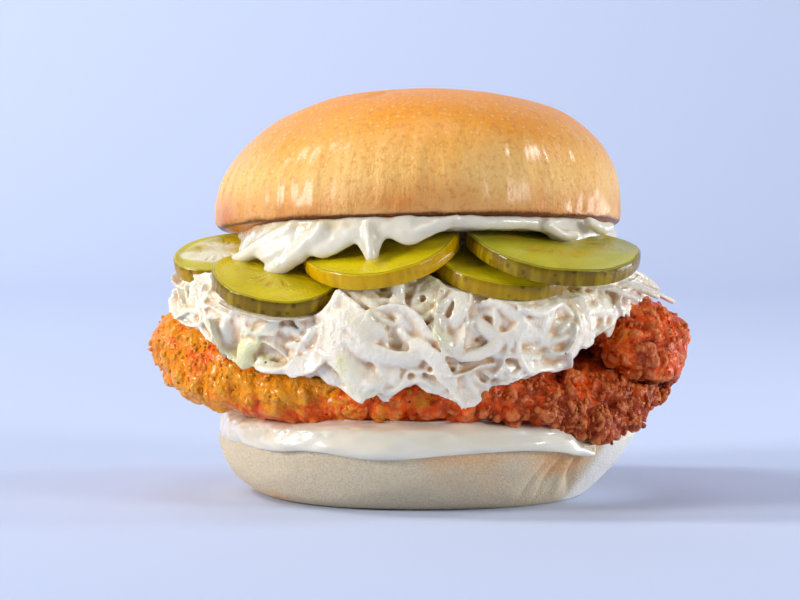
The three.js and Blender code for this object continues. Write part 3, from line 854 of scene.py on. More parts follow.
def makeHeel():
    # The part's own rings, drawn finely: a round foot edge, the side, a rounded rim and a dished top
    around = (np.arange(heel["columns"]) / heel["columns"] * fullTurn)[None]
    rowPlace = np.linspace(0, 1, heel["rows"])[:, None]
    inward = np.interp(rowPlace, heelRingPlace, heelRings[:, 0])
    share = np.interp(rowPlace, heelRingPlace, heelRings[:, 1])
    side = heel["height"] / heelRings[rimRing, 1]
    radius = heelRadius(around, np.minimum(1, share))
    z = share * side + 0 * around
    dent = hill(turnBetween(around, heel["dentTurn"]), 0, 0.17) * hill(z, heel["dentHeight"], 5)
    out = inward * radius - heel["dentDepth"] * dent * inward ** 4
    apart = turnBetween(around, heel["dentTurn"]) * heel["dentReach"]
    fold = 0
    for place, lean, depth, width in creases:
        fold = fold - depth * hill(apart - lean * (z - 8) - 0.03 * (z - 8) ** 2, place, width)
    out = out + fold * hill(z, 8.5, 5) * inward ** 4
    x = heel["middle"][0] + out * np.cos(around)
    y = heel["middle"][1] + out * np.sin(around)
    grid = np.stack([x, y, z], axis=-1)
    shown = ease(0.02, 0.12, share + 0 * around) * (inward ** 4)
    lumps = 0.35 * softNoise(grid, 14, 11) + 0.16 * softNoise(grid, 4, 12) + 0.07 * softNoise(grid, 1.7, 13)
    outward = np.stack([np.cos(around) + 0 * z, np.sin(around) + 0 * z, 0 * z], axis=-1)
    grid = grid + outward * (lumps * shown)[..., None]
    mesh = closedSkin("heel", grid + shift)
    right = ease(-0.5, 0.7, np.cos(around))
    upper = ease(9, 15, z) * (0.1 + 0.55 * right)
    lowLeft = 0.7 * ease(7, 1, z) * ease(0.45, 0.9, -np.cos(around))
    byFold = 0.85 * hill(apart, -1, 8) * hill(z, 11, 4.5)
    paleFoot = 0.3 * ease(-26, -12, apart) * ease(7, 3, z)
    tan = upper + lowLeft + byFold - paleFoot
    # A floury patch on the right facet, painted near-white partly as painted light on that facet
    flour = ease(7, 12, apart) * ease(70, 25, apart) * ease(19, 15, z) + 0 * x
    setValue(mesh, "tan", skinPoints((tan * (1 - flour))[..., None])[:, 0])
    setValue(mesh, "flour", skinPoints(flour[..., None])[:, 0])
    return mesh


# Chicken fillet
fillet = {
    "halfWidth": 65,
    "halfDepth": 49.5,
    "underside": 21,
    "midThickness": 18.5,
    "endThickness": 27,
    "frontDroop": 2.3,
    "leftDroop": 1.6,
    "rightDroop": 7.4,
    "cragDepth": 1.7,
    "cragSize": 15,
    "voxel": 0.44,
    "hiddenReach": (52, 43),  # the half sizes within which its flat faces are hidden, and the share of all
    "keep": 0.52,  # faces that is kept when they are thinned
    "lumps": (7, 1.5),  # size and depth, from large to small
    "clumps": (3.5, 1.65),
    "grains": (1.6, 0.75),
    "crumbs": 1150,
    "lip": (3.6, -0.72, 0.5),  # what hangs over the bun's rim at front right: how far, where and how broad
    # The dark crease under the folded flap, seen from the front: x and z along it, its depth and width
    "crease": [(31.9, 32.1), (36.4, 35), (40.5, 36.2), (43.8, 34), (49.5, 31.2), (55.5, 28.8), (58.6, 27.9)],
    "creaseDepth": 5.5,
    "creaseWidth": 1.7,
    "pocket": (40.5, 36.6, 5, 2.6, 5),  # the hollow at its left end: x, z, half width, half height, depth
}
# The folded flap, the swollen left end and the knob in the fold: middle, half sizes, turn and lean
flap = {"at": (49, -1, 37.4), "half": (16.4, 27, 10.6), "turn": 0.1, "lean": 0}
bulge = {"at": (-50.3, -4, 36.4), "half": (15.8, 27, 10), "turn": 0.05, "lean": 0.1}
knob = {"at": (45.5, -19, 35.4), "half": (9, 11, 4.6), "turn": 0.6, "lean": 0.1}


def filletGrid(rows, columns):
    # A flattened superellipse, thicker at its ends and drooping at front right, with large crags on its side
    around = (np.arange(columns) / columns * fullTurn)[None]
    up = np.linspace(0, 1, rows)[:, None]
    across = 2 * up - 1
    crowded = np.sign(across) * np.abs(across) ** 1.35 * np.pi / 2
    out, high = roundedSquare(crowded, 2.9)
    wide, deep = roundedSquare(around, 2.3)
    lobes = 1 + 0.02 * np.sin(3 * around + 0.5) + 0.022 * np.sin(5 * around + 1.5)
    narrow = 1 - 0.085 * ease(0.2, 0.9, np.cos(around))
    x = out * wide * fillet["halfWidth"] * lobes * narrow
    y = out * deep * fillet["halfDepth"] * lobes
    leftEnd = ease(22, 52, -x)
    rightEnd = ease(25, 52, x)
    frontRight = rightEnd * ease(2, 34, -y)
    swell = (fillet["endThickness"] - fillet["midThickness"]) * leftEnd + 1.5 * rightEnd
    thickness = fillet["midThickness"] + swell
    droop = fillet["frontDroop"] * ease(20, 45, -y) + fillet["leftDroop"] * leftEnd
    droop = droop + fillet["rightDroop"] * (0.25 * rightEnd + 0.75 * frontRight)
    z = fillet["underside"] + thickness / 2 - droop + high * thickness / 2
    size = fillet["cragSize"]
    crag = np.abs(wave(x, y, z, size)) + 0.5 * np.abs(wave(x, y, z, size / 2))
    push = fillet["cragDepth"] * out ** 6 * (1.6 * crag - 0.5)
    slope = np.stack([wide * out ** 2, deep * out ** 2, high + 0 * around], axis=-1)
    slope /= np.linalg.norm(slope, axis=-1, keepdims=True)
    return np.stack([x, y, z], axis=-1) + slope * push[..., None]


def eggGrid(egg, rows, columns):
    # An egg of the given half sizes with large crags, leant about Y and turned about Z
    around = (np.arange(columns) / columns * fullTurn)[None]
    out, high = roundedSquare(np.linspace(-0.5, 0.5, rows)[:, None] * np.pi, 2.3)
    ray = np.stack([out * np.cos(around), out * np.sin(around), high + 0 * around], axis=-1)
    half = np.array(egg["half"])
    skin = ray * half
    crag = fillet["cragDepth"] * np.abs(wave(*np.moveaxis(skin, -1, 0), fillet["cragSize"]))
    skin = ray * (half + crag[..., None])
    turned = turnAbout(2, egg["turn"]) @ turnAbout(1, egg["lean"])
    return skin @ turned.T + np.array(egg["at"])


def brownness(points):
    # Gold at the left end and browner to the right; darker low down, partly browner crust and partly painted
    # shade; the folded flap paler, as painted highlight
    x, z = points[:, 0], points[:, 2]
    lighter = 0.3 * ease(38, 48, x) * ease(29, 33, z)
    return 0.04 + 0.82 * ease(-42, 54, x) + 0.26 * ease(31, 20, z) * ease(-62, -38, x) - lighter


def makeFillet():
    # Slab, flap, knob and bulge fused and evened; then lumps, clumps and grains stood out along the normals
    parts = [gridParts(filletGrid(90, 360))]
    parts += [gridParts(eggGrid(egg, 60, 140)) for egg in (flap, knob, bulge)]
    mesh = fused("fillet", *joinedPoints(parts), fillet["voxel"])
    points = evened(mesh, 22, 0.6)
    hang, hangTurn, hangWidth = fillet["lip"]
    away = ease(43, 55, np.hypot(points[:, 0], points[:, 1])) * ease(38, 28, points[:, 2])
    near = hill(turnBetween(np.arctan2(points[:, 1], points[:, 0]), hangTurn), 0, hangWidth)
    points[:, 2] -= hang * away * near
    movePoints(mesh, points)
    path = splined(np.array([fillet["crease"]], float), 40)[0]
    seen = points[:, [0, 2]]
    apart = np.full(len(points), 99.0)
    for knot in path:
        apart = np.minimum(apart, np.linalg.norm(seen - knot, axis=1))
    pocketX, pocketZ, halfWidth, halfHeight, pocketDepth = fillet["pocket"]
    hollow = hill(np.hypot((seen[:, 0] - pocketX) / halfWidth, (seen[:, 1] - pocketZ) / halfHeight), 0, 1)
    groove = fillet["creaseDepth"] * hill(apart, 0, fillet["creaseWidth"]) + pocketDepth * hollow
    groove = groove * ease(0.2, -0.3, normalsOf(mesh)[:, 1])
    points[:, 1] += groove
    movePoints(mesh, points)
    reachX, reachY = fillet["hiddenReach"]
    covered = np.hypot(points[:, 0] / reachX, points[:, 1] / reachY) < 1
    flat = np.abs(normalsOf(mesh)[:, 2]) > 0.6
    mesh = thinned(mesh, covered & flat, fillet["keep"])
    points = pointsOf(mesh)
    normals = normalsOf(mesh)
    right = ease(-30, 45, points[:, 0])
    rough = ease(-0.5, 0.6, softNoise(points, 16, 24) + 0.9 * right - 0.2)
    (lumpSize, lumpDepth), (clumpSize, clumpDepth), (grainSize, grainDepth) = (
        fillet["lumps"], fillet["clumps"], fillet["grains"])
    lumps = billows(warped(points, 4, 1.6, 31), lumpSize, 1, 30)
    clumps = billows(warped(points, 2.4, 0.9, 35), clumpSize, 1, 40)
    grains = nodules(warped(points, 1.6, 0.9, 38), grainSize, 50)
    patchy = ease(-0.1, 0.6, softNoise(points, 5, 60))
    push = lumpDepth * (lumps - 0.3) + clumpDepth * (clumps - 0.3) * (0.7 + 0.3 * rough)
    push = push + grainDepth * (grains - 0.5) * (0.5 + 0.5 * np.maximum(rough, 0.3 * patchy))
    push = push + 0.13 * softNoise(points, 1.0, 62)
    movePoints(mesh, points + normals * push[:, None] + shift)
    # crest: how far each point stands out, which the material turns into painted shade in creases and
    # painted highlight on crests
    setValue(mesh, "crest", 0.3 * crests(mesh, 6, 0.35) + 0.7 * crests(mesh, 30, 1.0))
    setValue(mesh, "brown", brownness(points))
    return mesh


def ballGrid(rows, columns):
    # A ball of radius 1: level circles of radius cos(angle) at height sin(angle)
    around = (np.arange(columns) / columns * fullTurn)[None]
    angle = np.linspace(-0.5, 0.5, rows)[:, None] * np.pi
    level = np.cos(angle)
    return np.stack([level * np.cos(around), level * np.sin(around), np.sin(angle) + 0 * around], axis=-1)


def scatterBalls(spots, sizes, draw, jag=0.35, rows=5, columns=6):
    # Small uneven balls at the spots: each a coarse ball squashed by its own three sizes and knocked about
    grid = ballGrid(rows, columns)
    base = skinPoints(grid)
    faces = skinFaces(rows - 1, columns)
    jolt = 1 + jag * (draw.random((len(spots), len(base), 1)) - 0.5)
    points = spots[:, None] + base[None] * jolt * sizes[:, None]
    step = (np.arange(len(spots)) * len(base))[:, None, None]
    groups = [(group[None] + step).reshape(-1, group.shape[1]) for group in faces]
    return points.reshape(-1, 3), groups


def makeCrumbs(filletMesh):
    # Jagged crumbs of crust, thickest on the craggy parts of the side that shows
    draw = np.random.default_rng(5)
    points = pointsOf(filletMesh) - shift
    normals = normalsOf(filletMesh)
    out = np.hypot(points[:, 0] / fillet["halfWidth"], points[:, 1] / fillet["halfDepth"])
    right = ease(-30, 45, points[:, 0])
    cluster = ease(-0.1, 0.7, softNoise(points, 6, 61) + 0.7 * right - 0.3)
    weight = ease(0.72, 0.95, out) * (0.15 + cluster) * ease(-0.95, -0.2, normals[:, 2])
    picked = draw.choice(len(points), fillet["crumbs"], replace=False, p=weight / weight.sum())
    radius = 0.25 + 0.6 * draw.random(len(picked)) ** 2.5
    sizes = radius[:, None] * (0.6 + 0.8 * draw.random((len(picked), 3)))
    spots = points[picked] + normals[picked] * radius[:, None] * 0.2 + shift
    balls, groups = scatterBalls(spots, sizes, draw, 0.7)
    mesh = meshOf("crumbs", balls, groups)
    perBall = len(balls) // len(picked)
    # Each crumb gets a random crest, so it takes some of the painted highlight colour
    setValue(mesh, "crest", np.repeat(0.5 + 0.4 * draw.random(len(picked)), perBall))
    setValue(mesh, "brown", np.repeat(brownness(points[picked]), perBall))
    return mesh


# Pickles
sliceForm = {
    "thickness": 4.1,
    "edgeRound": 0.5,
    "rim": 0.975,  # the disc's share of the slice's radius
    "flatten": 0.96,  # how much narrower it is from front to back
    "dish": 0.25,  # how deep the flesh sinks beside the peel, and how deep the seeds lie
    "seedDepth": 0.3,
    "columns": 240,
}
# Each slice: at is the middle of its upper face, turn the side it leans to, and age goes from bright to dull
slices = {
    "pickle_left": {"at": (-50, -12, 61.2), "radius": 11.8, "turn": -0.45, "tilt": 0.36, "roll": 0.02,
                    "bend": 0.06, "age": 0.5, "rind": 0.45},
    "pickle_front_left": {"at": (-34.2, -38, 57.2), "radius": 16.4, "turn": -0.2, "tilt": 0.27, "roll": 0.12,
                          "bend": 0.12, "age": 0.1, "rind": 0.85},
    "pickle_front_middle": {"at": (-10.2, -38.5, 64), "radius": 19.2, "turn": 0, "tilt": 0.22, "roll": -0.16,
                            "bend": 0.11, "age": 0, "rind": 0},
    "pickle_front_low": {"at": (18.6, -38.5, 60), "radius": 17.4, "turn": 0.1, "tilt": 0.19, "roll": 0.12,
                         "bend": 0.1, "age": 0.2, "rind": 0.45},
    "pickle_front_right": {"at": (31.3, -38, 64.6), "radius": 21.4, "turn": 0.12, "tilt": 0.175, "roll": 0.1,
                           "bend": 0.12, "age": 0.85, "rind": 0.85},
    "pickle_right": {"at": (41, 4, 64.2), "radius": 12.5, "turn": 1.57, "tilt": 0.1, "roll": 0.03,
                     "bend": 0.08, "age": 0.5, "rind": 0.5},
    "pickle_back_right": {"at": (28.5, 34.5, 60), "radius": 17.4, "turn": 2.5, "tilt": 0.13, "roll": 0.06,
                          "bend": 0.1, "age": 0.2, "rind": 0.2},
    "pickle_back_middle": {"at": (-7.4, 38, 58), "radius": 17.8, "turn": 3.1, "tilt": 0.12, "roll": -0.05,
                           "bend": 0.12, "age": 0.7, "rind": 0.8},
    "pickle_back_left": {"at": (-37.5, 22, 59.4), "radius": 16, "turn": -2.3, "tilt": 0.14, "roll": 0.05,
                         "bend": 0.1, "age": 0.3, "rind": 0.4},
}
# Films of sauce on a slice: place on it, reach and strength
smears = {
    "pickle_left": (0, -2, 11, 1.0),
    "pickle_front_right": (-4, 4, 7, 0.75),
    "pickle_back_middle": (3, -4, 8, 0.8),
}


def sliceAxes(slice):
    # Roll about Y, then tilt about X, then turn about Z
    return turnAbout(2, slice["turn"]) @ turnAbout(0, slice["tilt"]) @ turnAbout(1, slice["roll"])


def sliceDroop(slice, y):
    # How far the slice bends down towards its front: with the square of the distance from its middle
    return np.where(y < 0, slice["bend"] * y * y / slice["radius"], 0)


def makeSlice(name, slice, seed):
    # A disc: out over the lower face, round its edge, up the peel and back over the upper face
    around = (np.arange(sliceForm["columns"]) / sliceForm["columns"] * fullTurn)[None]
    radius, thickness, soft = slice["radius"], sliceForm["thickness"], sliceForm["edgeRound"]
    uneven = 1 + 0.018 * np.sin(3 * around + 7 * slice["turn"]) + 0.012 * np.sin(5 * around + slice["turn"])
    flat = np.linspace(0, 1, 26)
    corner = np.linspace(0, 1, 7)[1:-1] * np.pi / 2
    edge = radius * sliceForm["rim"]
    outs = np.concatenate([flat * (edge - soft), edge - soft + soft * np.sin(corner), np.full(9, edge),
                           edge - soft + soft * np.cos(corner), flat[::-1] * (edge - soft)])[:, None]
    sides = np.concatenate([0 * flat, soft - soft * np.cos(corner), np.linspace(soft, thickness - soft, 9),
                            thickness - soft + soft * np.sin(corner), 0 * flat + thickness])[:, None]
    x = outs * uneven * np.cos(around)
    y = outs * uneven * np.sin(around) * sliceForm["flatten"]
    share = outs / edge + 0 * around
    upper = ease(0.6, 1.0, sides / thickness) + 0 * around
    onPeel = ease(0.95, 0.985, share) * ease(thickness, thickness - 0.45, sides)
    spot = np.stack([x, y, 0 * x + seed * 9.0], axis=-1)
    rim = np.stack([around * radius + 0 * share, sides / 9 + 0 * share, 0 * share + seed * 5], axis=-1)
    streak = 0.5 + 0.5 * softNoise(rim, 1) + 0.25 * softNoise(rim * 2.3, 1, 3)
    proud = 0.25 * np.sin(np.pi * sides / thickness) * onPeel + 0.12 * (streak - 0.5) * onPeel
    x = x + np.cos(around) * proud
    y = y + np.sin(around) * proud
    chambers = ease(0.2, 0.6, np.abs(np.sin(1.5 * around + seed)))
    ovals = ease(-0.2, 0.7, np.sin(19 * around + 2 * np.sin(3 * around + seed)))
    seeds = hill(share, 0.46 + 0.05 * np.sin(7 * around + seed), 0.1) * chambers * (0.3 + 0.7 * ovals)
    sunk = sliceForm["seedDepth"] * seeds
    dish = sliceForm["dish"] * hill(share, 0.86, 0.12)
    z = sides - thickness + (0.2 * softNoise(spot, 5, 81) * share - sunk - dish) * upper
    z = z - sliceDroop(slice, y)
    grid = np.stack([x, y, z], axis=-1) @ sliceAxes(slice).T + np.array(slice["at"])
    mesh = closedSkin(name, grid + shift)
    smearX, smearY, reach, strength = smears.get(name, (0, 0, 1, 0))
    swirl = 0.75 + 0.6 * softNoise(spot * np.array([0.35, 1, 1]), 4, 82)
    near = hill(np.hypot(x - smearX, 1.3 * (y - smearY)), 0, reach)
    values = {
        "share": share * upper,
        "peel": onPeel,
        "seeds": seeds * upper,
        "smear": strength * swirl * upper * ease(1.0, 0.8, share) * near,
        "streak": streak,
        "age": 0 * share + slice["age"],
        "rind": 0 * share + slice["rind"],
        "level": sides / thickness + 0 * share,
    }
    for label, value in values.items():
        setValue(mesh, label, skinPoints(value[..., None])[:, 0])
    return mesh


# Slaw
slaw = {
    "halfWidth": 60.5,
    "halfDepth": 53,
    "rightDraw": 0.15,
    "edgeTop": 55,
    "middleTop": 61,
    "bottom": 33,
    "ringLength": 62,  # along a ring, from the middle below over the rim to the middle of the top
    "lumpSize": 19,
    "lumpDepth": 2.2,
    "frontVoxel": 0.45,
    "backVoxel": 0.52,
    "frontKeep": 0.52,  # what share of its faces is kept where the mass is hidden inside
    "backKeep": 0.62,
    "rimPlace": 0.41,  # how far up the rings the lowest edge is
    "overhang": 1.5,  # how far below it an end may hang
    "pressReach": 3.4,  # how far round a slice the heap gives way
    "rimRing": 5,  # the ring that reaches out furthest
    "drops": 90,
}
# Where the heap hangs lower: turn, width and drop
hangs = np.array([[-2.36, 0.08, 1.5], [-2.1, 0.14, -1.2], [-1.78, 0.12, 4.5], [-1.44, 0.08, 3],
                  [-1.05, 0.14, -2], [-0.8, 0.1, -2], [0.75, 0.14, 4], [1.35, 0.16, 6], [1.95, 0.13, 4.5],
                  [2.6, 0.14, 3.5]])
# Kinds of cut cabbage: how many in front and behind, lowest and highest half width, length, lift at the
# middle, lift of the ends, half thickness, cup and how ragged the edges are
shredKinds = {
    "strips": {"front": 115, "back": 140, "wide": (0.9, 1.8), "long": (12, 26), "lift": (-0.4, 1.6),
               "ends": (-0.9, 1.6), "thick": (0.65, 1.0), "cup": (-0.1, 0.3), "ragged": 0.15},
    "leaves": {"front": 74, "back": 90, "wide": (2.1, 4.4), "long": (9, 19), "lift": (-0.5, 1.5),
               "ends": (-1.5, 2.0), "thick": (0.6, 0.9), "cup": (-0.5, 0.9), "ragged": 0.5},
}
# Strips placed on the front: from x and z to x and z, bow, half width, tip and lift
placedStrips = np.array([
    [-19.5, 50, -11.4, 29.3, 2.5, 4.6, 0.8, 1.9],  # the broad tongue in the middle
    [-12.5, 45, -8.6, 31, -1.5, 2.6, 0.5, 1.2],
    [-3, 42, 7.2, 30.4, -1.2, 2.2, 0.45, 1.9],  # the curved tip to its right
    [-22, 47.5, 0.5, 38.5, 4.5, 2.5, 0.4, 2.4],  # a ribbon that curls across
    [-38.5, 43, -42, 34.2, 0.2, 2.3, 0.9, 2.4],  # the rounded drip on the left
    [-21, 41, -32, 33.4, -0.8, 2.6, 0.1, 1.3],  # a point beside it
    [-27, 39, -19, 32.5, 0.5, 2.2, 0.15, 0.9],
    [46.6, 56, 43.8, 40.5, 0.5, 1.6, 0.6, 1.9],  # a straight strip on the right
    [35, 51, 38.5, 38.5, -1.2, 2.4, 0.4, 1.0],
    [7, 38.4, 19, 43, 1.5, 1.7, 0.5, 1.8],
    [22, 39.5, 26, 33.3, 0.5, 1.7, 0.35, 1.0],
    [-6, 57, -2, 44, 1.5, 1.8, 0.4, 1.2],
    [9, 55, 6, 45, -1, 1.6, 0.5, 1.2],
    [-52, 50, -36, 46.5, -1.5, 2.0, 0.5, 1.0],
])
# Strips over the fillet's folded flap on the right: from and to, half width
farStrips = [((38, -14, 56), (62.4, -9, 48.6), 2.9), ((36, -21, 55), (58, -20, 50.4), 2.4),
             ((42, -4, 57), (59.5, 1, 51), 2.0), ((34, -27, 54.5), (52.5, -28, 50), 1.8),
             ((40, -30, 55), (49, -18, 52.5), 1.6)]


def slawRings(around):
    # Rings of the heap for each turn: from the middle below, round the hanging rim, to the middle of the top
    hang = sum(drop * hill(turnBetween(around, at), 0, width) for at, width, drop in hangs)
    right = ease(0.5, 0.9, np.cos(around))
    left = ease(0.5, 0.95, -np.cos(around))
    wide, deep = roundedSquare(around, 2.15)
    drawn = 1 - slaw["rightDraw"] * ease(0.3, 0.95, np.cos(around))
    rim = np.hypot(wide * slaw["halfWidth"], deep * slaw["halfDepth"]) * drawn
    low = slaw["bottom"] - hang + 12 * right + 12 * left
    top = slaw["edgeTop"] + 2 * left
    bottom = slaw["bottom"] + 0 * around
    outs = [0 * rim, rim - 12, rim - 4.6, rim - 2.2, rim, rim + 0.6, rim - 0.4, rim - 4, 0.62 * rim, 0 * rim]
    heights = [bottom, bottom, low + 1.2, low, low + 2.6, 0.55 * low + 0.45 * top, top - 5, top - 1,
               0.35 * top + 0.65 * slaw["middleTop"], slaw["middleTop"] + 0 * around]
    return np.stack([np.stack(outs, axis=-1), np.stack(heights, axis=-1)], axis=-1)


def slawAim(around):
    # The direction seen from above in which the rings' own turn lies: on an ellipse of the heap's half sizes
    return np.arctan2(np.sin(around) * slaw["halfDepth"], np.cos(around) * slaw["halfWidth"])


def slawTurn(aim):
    # The rings' own turn for a direction seen from above, the reverse of slawAim
    return np.arctan2(np.sin(aim) / slaw["halfDepth"], np.cos(aim) / slaw["halfWidth"])


def pastRim(points):
    # How far out each point is from the furthest ring in its direction
    rim = slawRings(slawTurn(np.arctan2(points[:, 1], points[:, 0])))[:, slaw["rimRing"], 0]
    return np.hypot(points[:, 0], points[:, 1]) - rim


def slawPlace(around, up):
    # A place on the heap between its rings, pushed in and out by lumps
    rings = slawRings(around)
    place = np.clip(up, 0, 1) * (rings.shape[-2] - 1)
    below = np.minimum(rings.shape[-2] - 2, np.floor(place).astype(int))
    low = np.take_along_axis(rings, below[..., None, None], axis=-2)[..., 0, :]
    high = np.take_along_axis(rings, below[..., None, None] + 1, axis=-2)[..., 0, :]
    out, z = np.moveaxis(low + (high - low) * (place - below)[..., None], -1, 0)
    aim = slawAim(around)
    shown = (out / slaw["halfDepth"]) ** 3
    lump = slaw["lumpDepth"] * shown * wave(out * np.cos(aim), out * np.sin(aim), z, slaw["lumpSize"])
    return np.stack([(out + lump) * np.cos(aim), (out + lump) * np.sin(aim), z], axis=-1)


def slawOutward(around, up):
    # The way out of the heap: across what runs round it and what runs up it, from places a step to each side
    step = 0.04
    along = slawPlace(around + step, up) - slawPlace(around - step, up)
    upward = slawPlace(around, up + step) - slawPlace(around, up - step)
    normal = np.cross(along, upward)
    return normal / np.linalg.norm(normal, axis=-1, keepdims=True)


def pressed(points):
    # The heap gives way to the slices: what lies within a slice's rim goes below its lower face
    for slice in slices.values():
        axes = sliceAxes(slice)
        local = (points - np.array(slice["at"])) @ axes
        apart = np.hypot(local[:, 0], local[:, 1] / sliceForm["flatten"])
        over = local[:, 2] + sliceDroop(slice, local[:, 1]) + sliceForm["thickness"] + 0.15
        within = ease(slice["radius"] + slaw["pressReach"], slice["radius"] + 0.4, apart)
        local[:, 2] -= within * np.maximum(over, 0)
        points = local @ axes.T + np.array(slice["at"])
    return points


def stripRings(path, outward, strip):
    # A strip along each path: a flattened ring with ragged edges, cupped across and turned about the path
    ahead = np.gradient(path, axis=1)
    ahead /= np.maximum(np.linalg.norm(ahead, axis=-1, keepdims=True), 1e-9)
    side = np.cross(ahead, outward)
    side /= np.maximum(np.linalg.norm(side, axis=-1, keepdims=True), 1e-9)
    up = np.cross(side, ahead)
    cosine, sine = np.cos(strip["twist"])[..., None], np.sin(strip["twist"])[..., None]
    side, up = cosine * side + sine * up, cosine * up - sine * side
    angle = (np.arange(strip["corners"]) / strip["corners"] * fullTurn)[None, None]
    edge = np.cos(angle)
    across = edge * np.where(edge > 0, strip["right"][..., None], strip["left"][..., None])
    raised = np.sin(angle) * strip["thick"][..., None]
    raised = raised + strip["cup"][..., None] * across ** 2 / strip["wide"][..., None]
    return path[:, :, None] + across[..., None] * side[:, :, None] + raised[..., None] * up[:, :, None]


def shredTubes(draw, count, fromTurn, toTurn, kind):
    # Cut cabbage laid over the heap: each piece runs at its own slant, bends, and stands off at its ends
    steps = 15
    t = np.linspace(-0.5, 0.5, steps)[None]

    def one(low, high):
        # A number between the two for each piece
        return low + (high - low) * draw.random((count, 1))

    around = one(fromTurn, toTurn)
    up = one(0.36, 0.8)
    slant = one(-1.5, 1.5) + np.where(draw.random((count, 1)) < 0.5, np.pi, 0)
    length = one(*kind["long"])
    bend = one(-0.09, 0.09)
    wiggle = one(-1.2, 1.2)
    turnHere = around + np.cos(slant) * t * length / slaw["halfDepth"] + bend * np.cos(5 * t + wiggle)
    upHere = up + np.sin(slant) * t * length / slaw["ringLength"] + bend * np.sin(6 * t + wiggle)
    held = np.clip(upHere, slaw["rimPlace"], 0.95)
    path = slawPlace(turnHere, held)
    outward = slawOutward(turnHere, held)
    path[..., 2] -= slaw["overhang"] * (1 - np.exp(-np.maximum(slaw["rimPlace"] - upHere, 0) * 40))
    lift = one(*kind["lift"]) + one(*kind["ends"]) * (2 * t) ** 2 + 0.4 * np.sin(7 * t + wiggle * 3)
    lift = lift * (1 - 0.65 * ease(0.7, 0.95, -np.cos(around)))
    path = path + outward * lift[..., None]
    tip = one(0.3, 0.8)
    taper = tip + (1 - tip) * np.clip(1 - np.abs(2 * t) ** 3, 0, 1) ** 0.5
    wide = one(*kind["wide"]) * taper
    torn = [1 + kind["ragged"] * np.interp(np.linspace(0, 6, steps), np.arange(7), row)
            for row in draw.random((2 * count, 7)) - 0.6]
    torn = np.array(torn).reshape(2, count, steps)
    strip = {
        "corners": 12 if kind["wide"][1] > 2 else 8,
        "wide": wide,
        "left": wide * torn[0],
        "right": wide * torn[1],
        "thick": one(*kind["thick"]) * (0.6 + 0.4 * taper),
        "cup": one(*kind["cup"]) + 0 * t,
        "twist": one(-0.9, 0.9) + one(-1.1, 1.1) * t,
    }
    return stripRings(path, outward, strip)


def placedTubes():
    # The listed strips: each lies on the heap's rim at its x, bowed sideways
    steps = 18
    fromX, fromZ, toX, toZ, bow, wide, tip, lift = (placedStrips[:, k:k + 1] for k in range(8))
    t = np.linspace(0, 1, steps)[None]
    length = np.hypot(toX - fromX, toZ - fromZ)
    x = fromX + (toX - fromX) * t + bow * np.sin(np.pi * t) * (toZ - fromZ) / length
    z = fromZ + (toZ - fromZ) * t - bow * np.sin(np.pi * t) * (toX - fromX) / length
    aim = -np.arccos(np.clip(x / slaw["halfWidth"], -1, 1))
    for _ in range(4):
        rim = slawRings(slawTurn(aim))[..., slaw["rimRing"], 0]
        aim = -np.arccos(np.clip(x / rim, -1, 1))
    outward = np.stack([np.cos(aim), np.sin(aim), 0 * x], axis=-1)
    rise = lift * (0.35 + 0.9 * np.sin(np.pi * (0.15 + 0.75 * t)))
    inward = ease(47, 54, z) * 2.5
    path = np.stack([x, rim * np.sin(aim), z], axis=-1) + outward * (rise - inward)[..., None]
    body = np.clip(1 - np.maximum(2 * t - 1, 0) ** 3, 0, 1) ** 0.5
    width = wide * (tip + (1 - tip) * body) * np.clip(1 - (2 * t - 1) ** 14, 0.02, 1) ** 0.5
    tear = 1 + 0.22 * np.sin(9 * t + 7 * fromX) * (wide > 2)
    strip = {
        "corners": 16,
        "wide": width,
        "left": width * tear,
        "right": width * (2 - tear),
        "thick": 0.35 + 0.14 * width,
        "cup": -0.22 * np.sign(bow + 0.01) + 0 * t,
        "twist": 0.35 * np.sin(3 * t + fromX),
    }
    return stripRings(path, outward, strip)


def farTubes():
    # Strips that lie out over the folded flap, sagging a little at their ends
    t = np.linspace(0, 1, 14)[None, :, None]
    ends = np.array([[start, end] for start, end, _ in farStrips], float)
    path = ends[:, :1] + (ends[:, 1:] - ends[:, :1]) * t
    path[..., 2] += 1.2 * np.sin(np.pi * t[..., 0]) - 0.5 * t[..., 0] ** 3
    path[..., 1] += 0.7 * np.sin(5 * t[..., 0] + ends[:, :1, 0])
    taper = np.clip(1 - t[..., 0] ** 6, 0.1, 1) ** 0.5
    width = np.array([wide for _, _, wide in farStrips])[:, None] * taper
    outward = np.zeros_like(path) + np.array([0.2, -0.5, 0.85])
    flat = {"corners": 10, "wide": width, "left": width, "right": width, "thick": 0.7 + 0 * width,
            "cup": 0.1 + 0 * width, "twist": 0.5 * np.sin(4 * t[..., 0] + ends[:, :1, 1])}
    return stripRings(path, outward, flat)


def heapBand(fromTurn, toTurn, columns):
    # The heap's side as a closed band: out over its skin, which has lumps, and back 4.5 mm inside
    around = np.linspace(fromTurn, toTurn, columns)[:, None]
    up = np.linspace(0.24, 0.93, 60)[None]
    skin = slawPlace(around + 0 * up, up + 0 * around)
    outward = slawOutward(around + 0 * up, up + 0 * around)
    lumps = 2.8 * billows(warped(skin, 6, 2, 73), 8, 2, 71) - 1.3
    outer = skin + outward * lumps[..., None]
    inner = skin - outward * 4.5
    return tubeBatch(np.concatenate([outer, inner[:, ::-1]], axis=1)[None])


def underRim(slice, fromTurn, toTurn, thickness):
    # A line of sauce along the lower edge of a slice
    around = np.linspace(fromTurn, toTurn, 30) - slice["turn"]
    x = slice["radius"] * np.cos(around)
    y = slice["radius"] * sliceForm["flatten"] * np.sin(around)
    local = np.stack([x, y, 0.4 * thickness - sliceForm["thickness"] - sliceDroop(slice, y)], axis=-1)
    line = local @ sliceAxes(slice).T + np.array(slice["at"])
    sizes = thickness * (1 + 0.35 * np.sin(np.arange(30) * 0.9))[:, None] + np.zeros((1, 3))
    return scatterBalls(line, sizes, np.random.default_rng(2), 0, 9, 12)


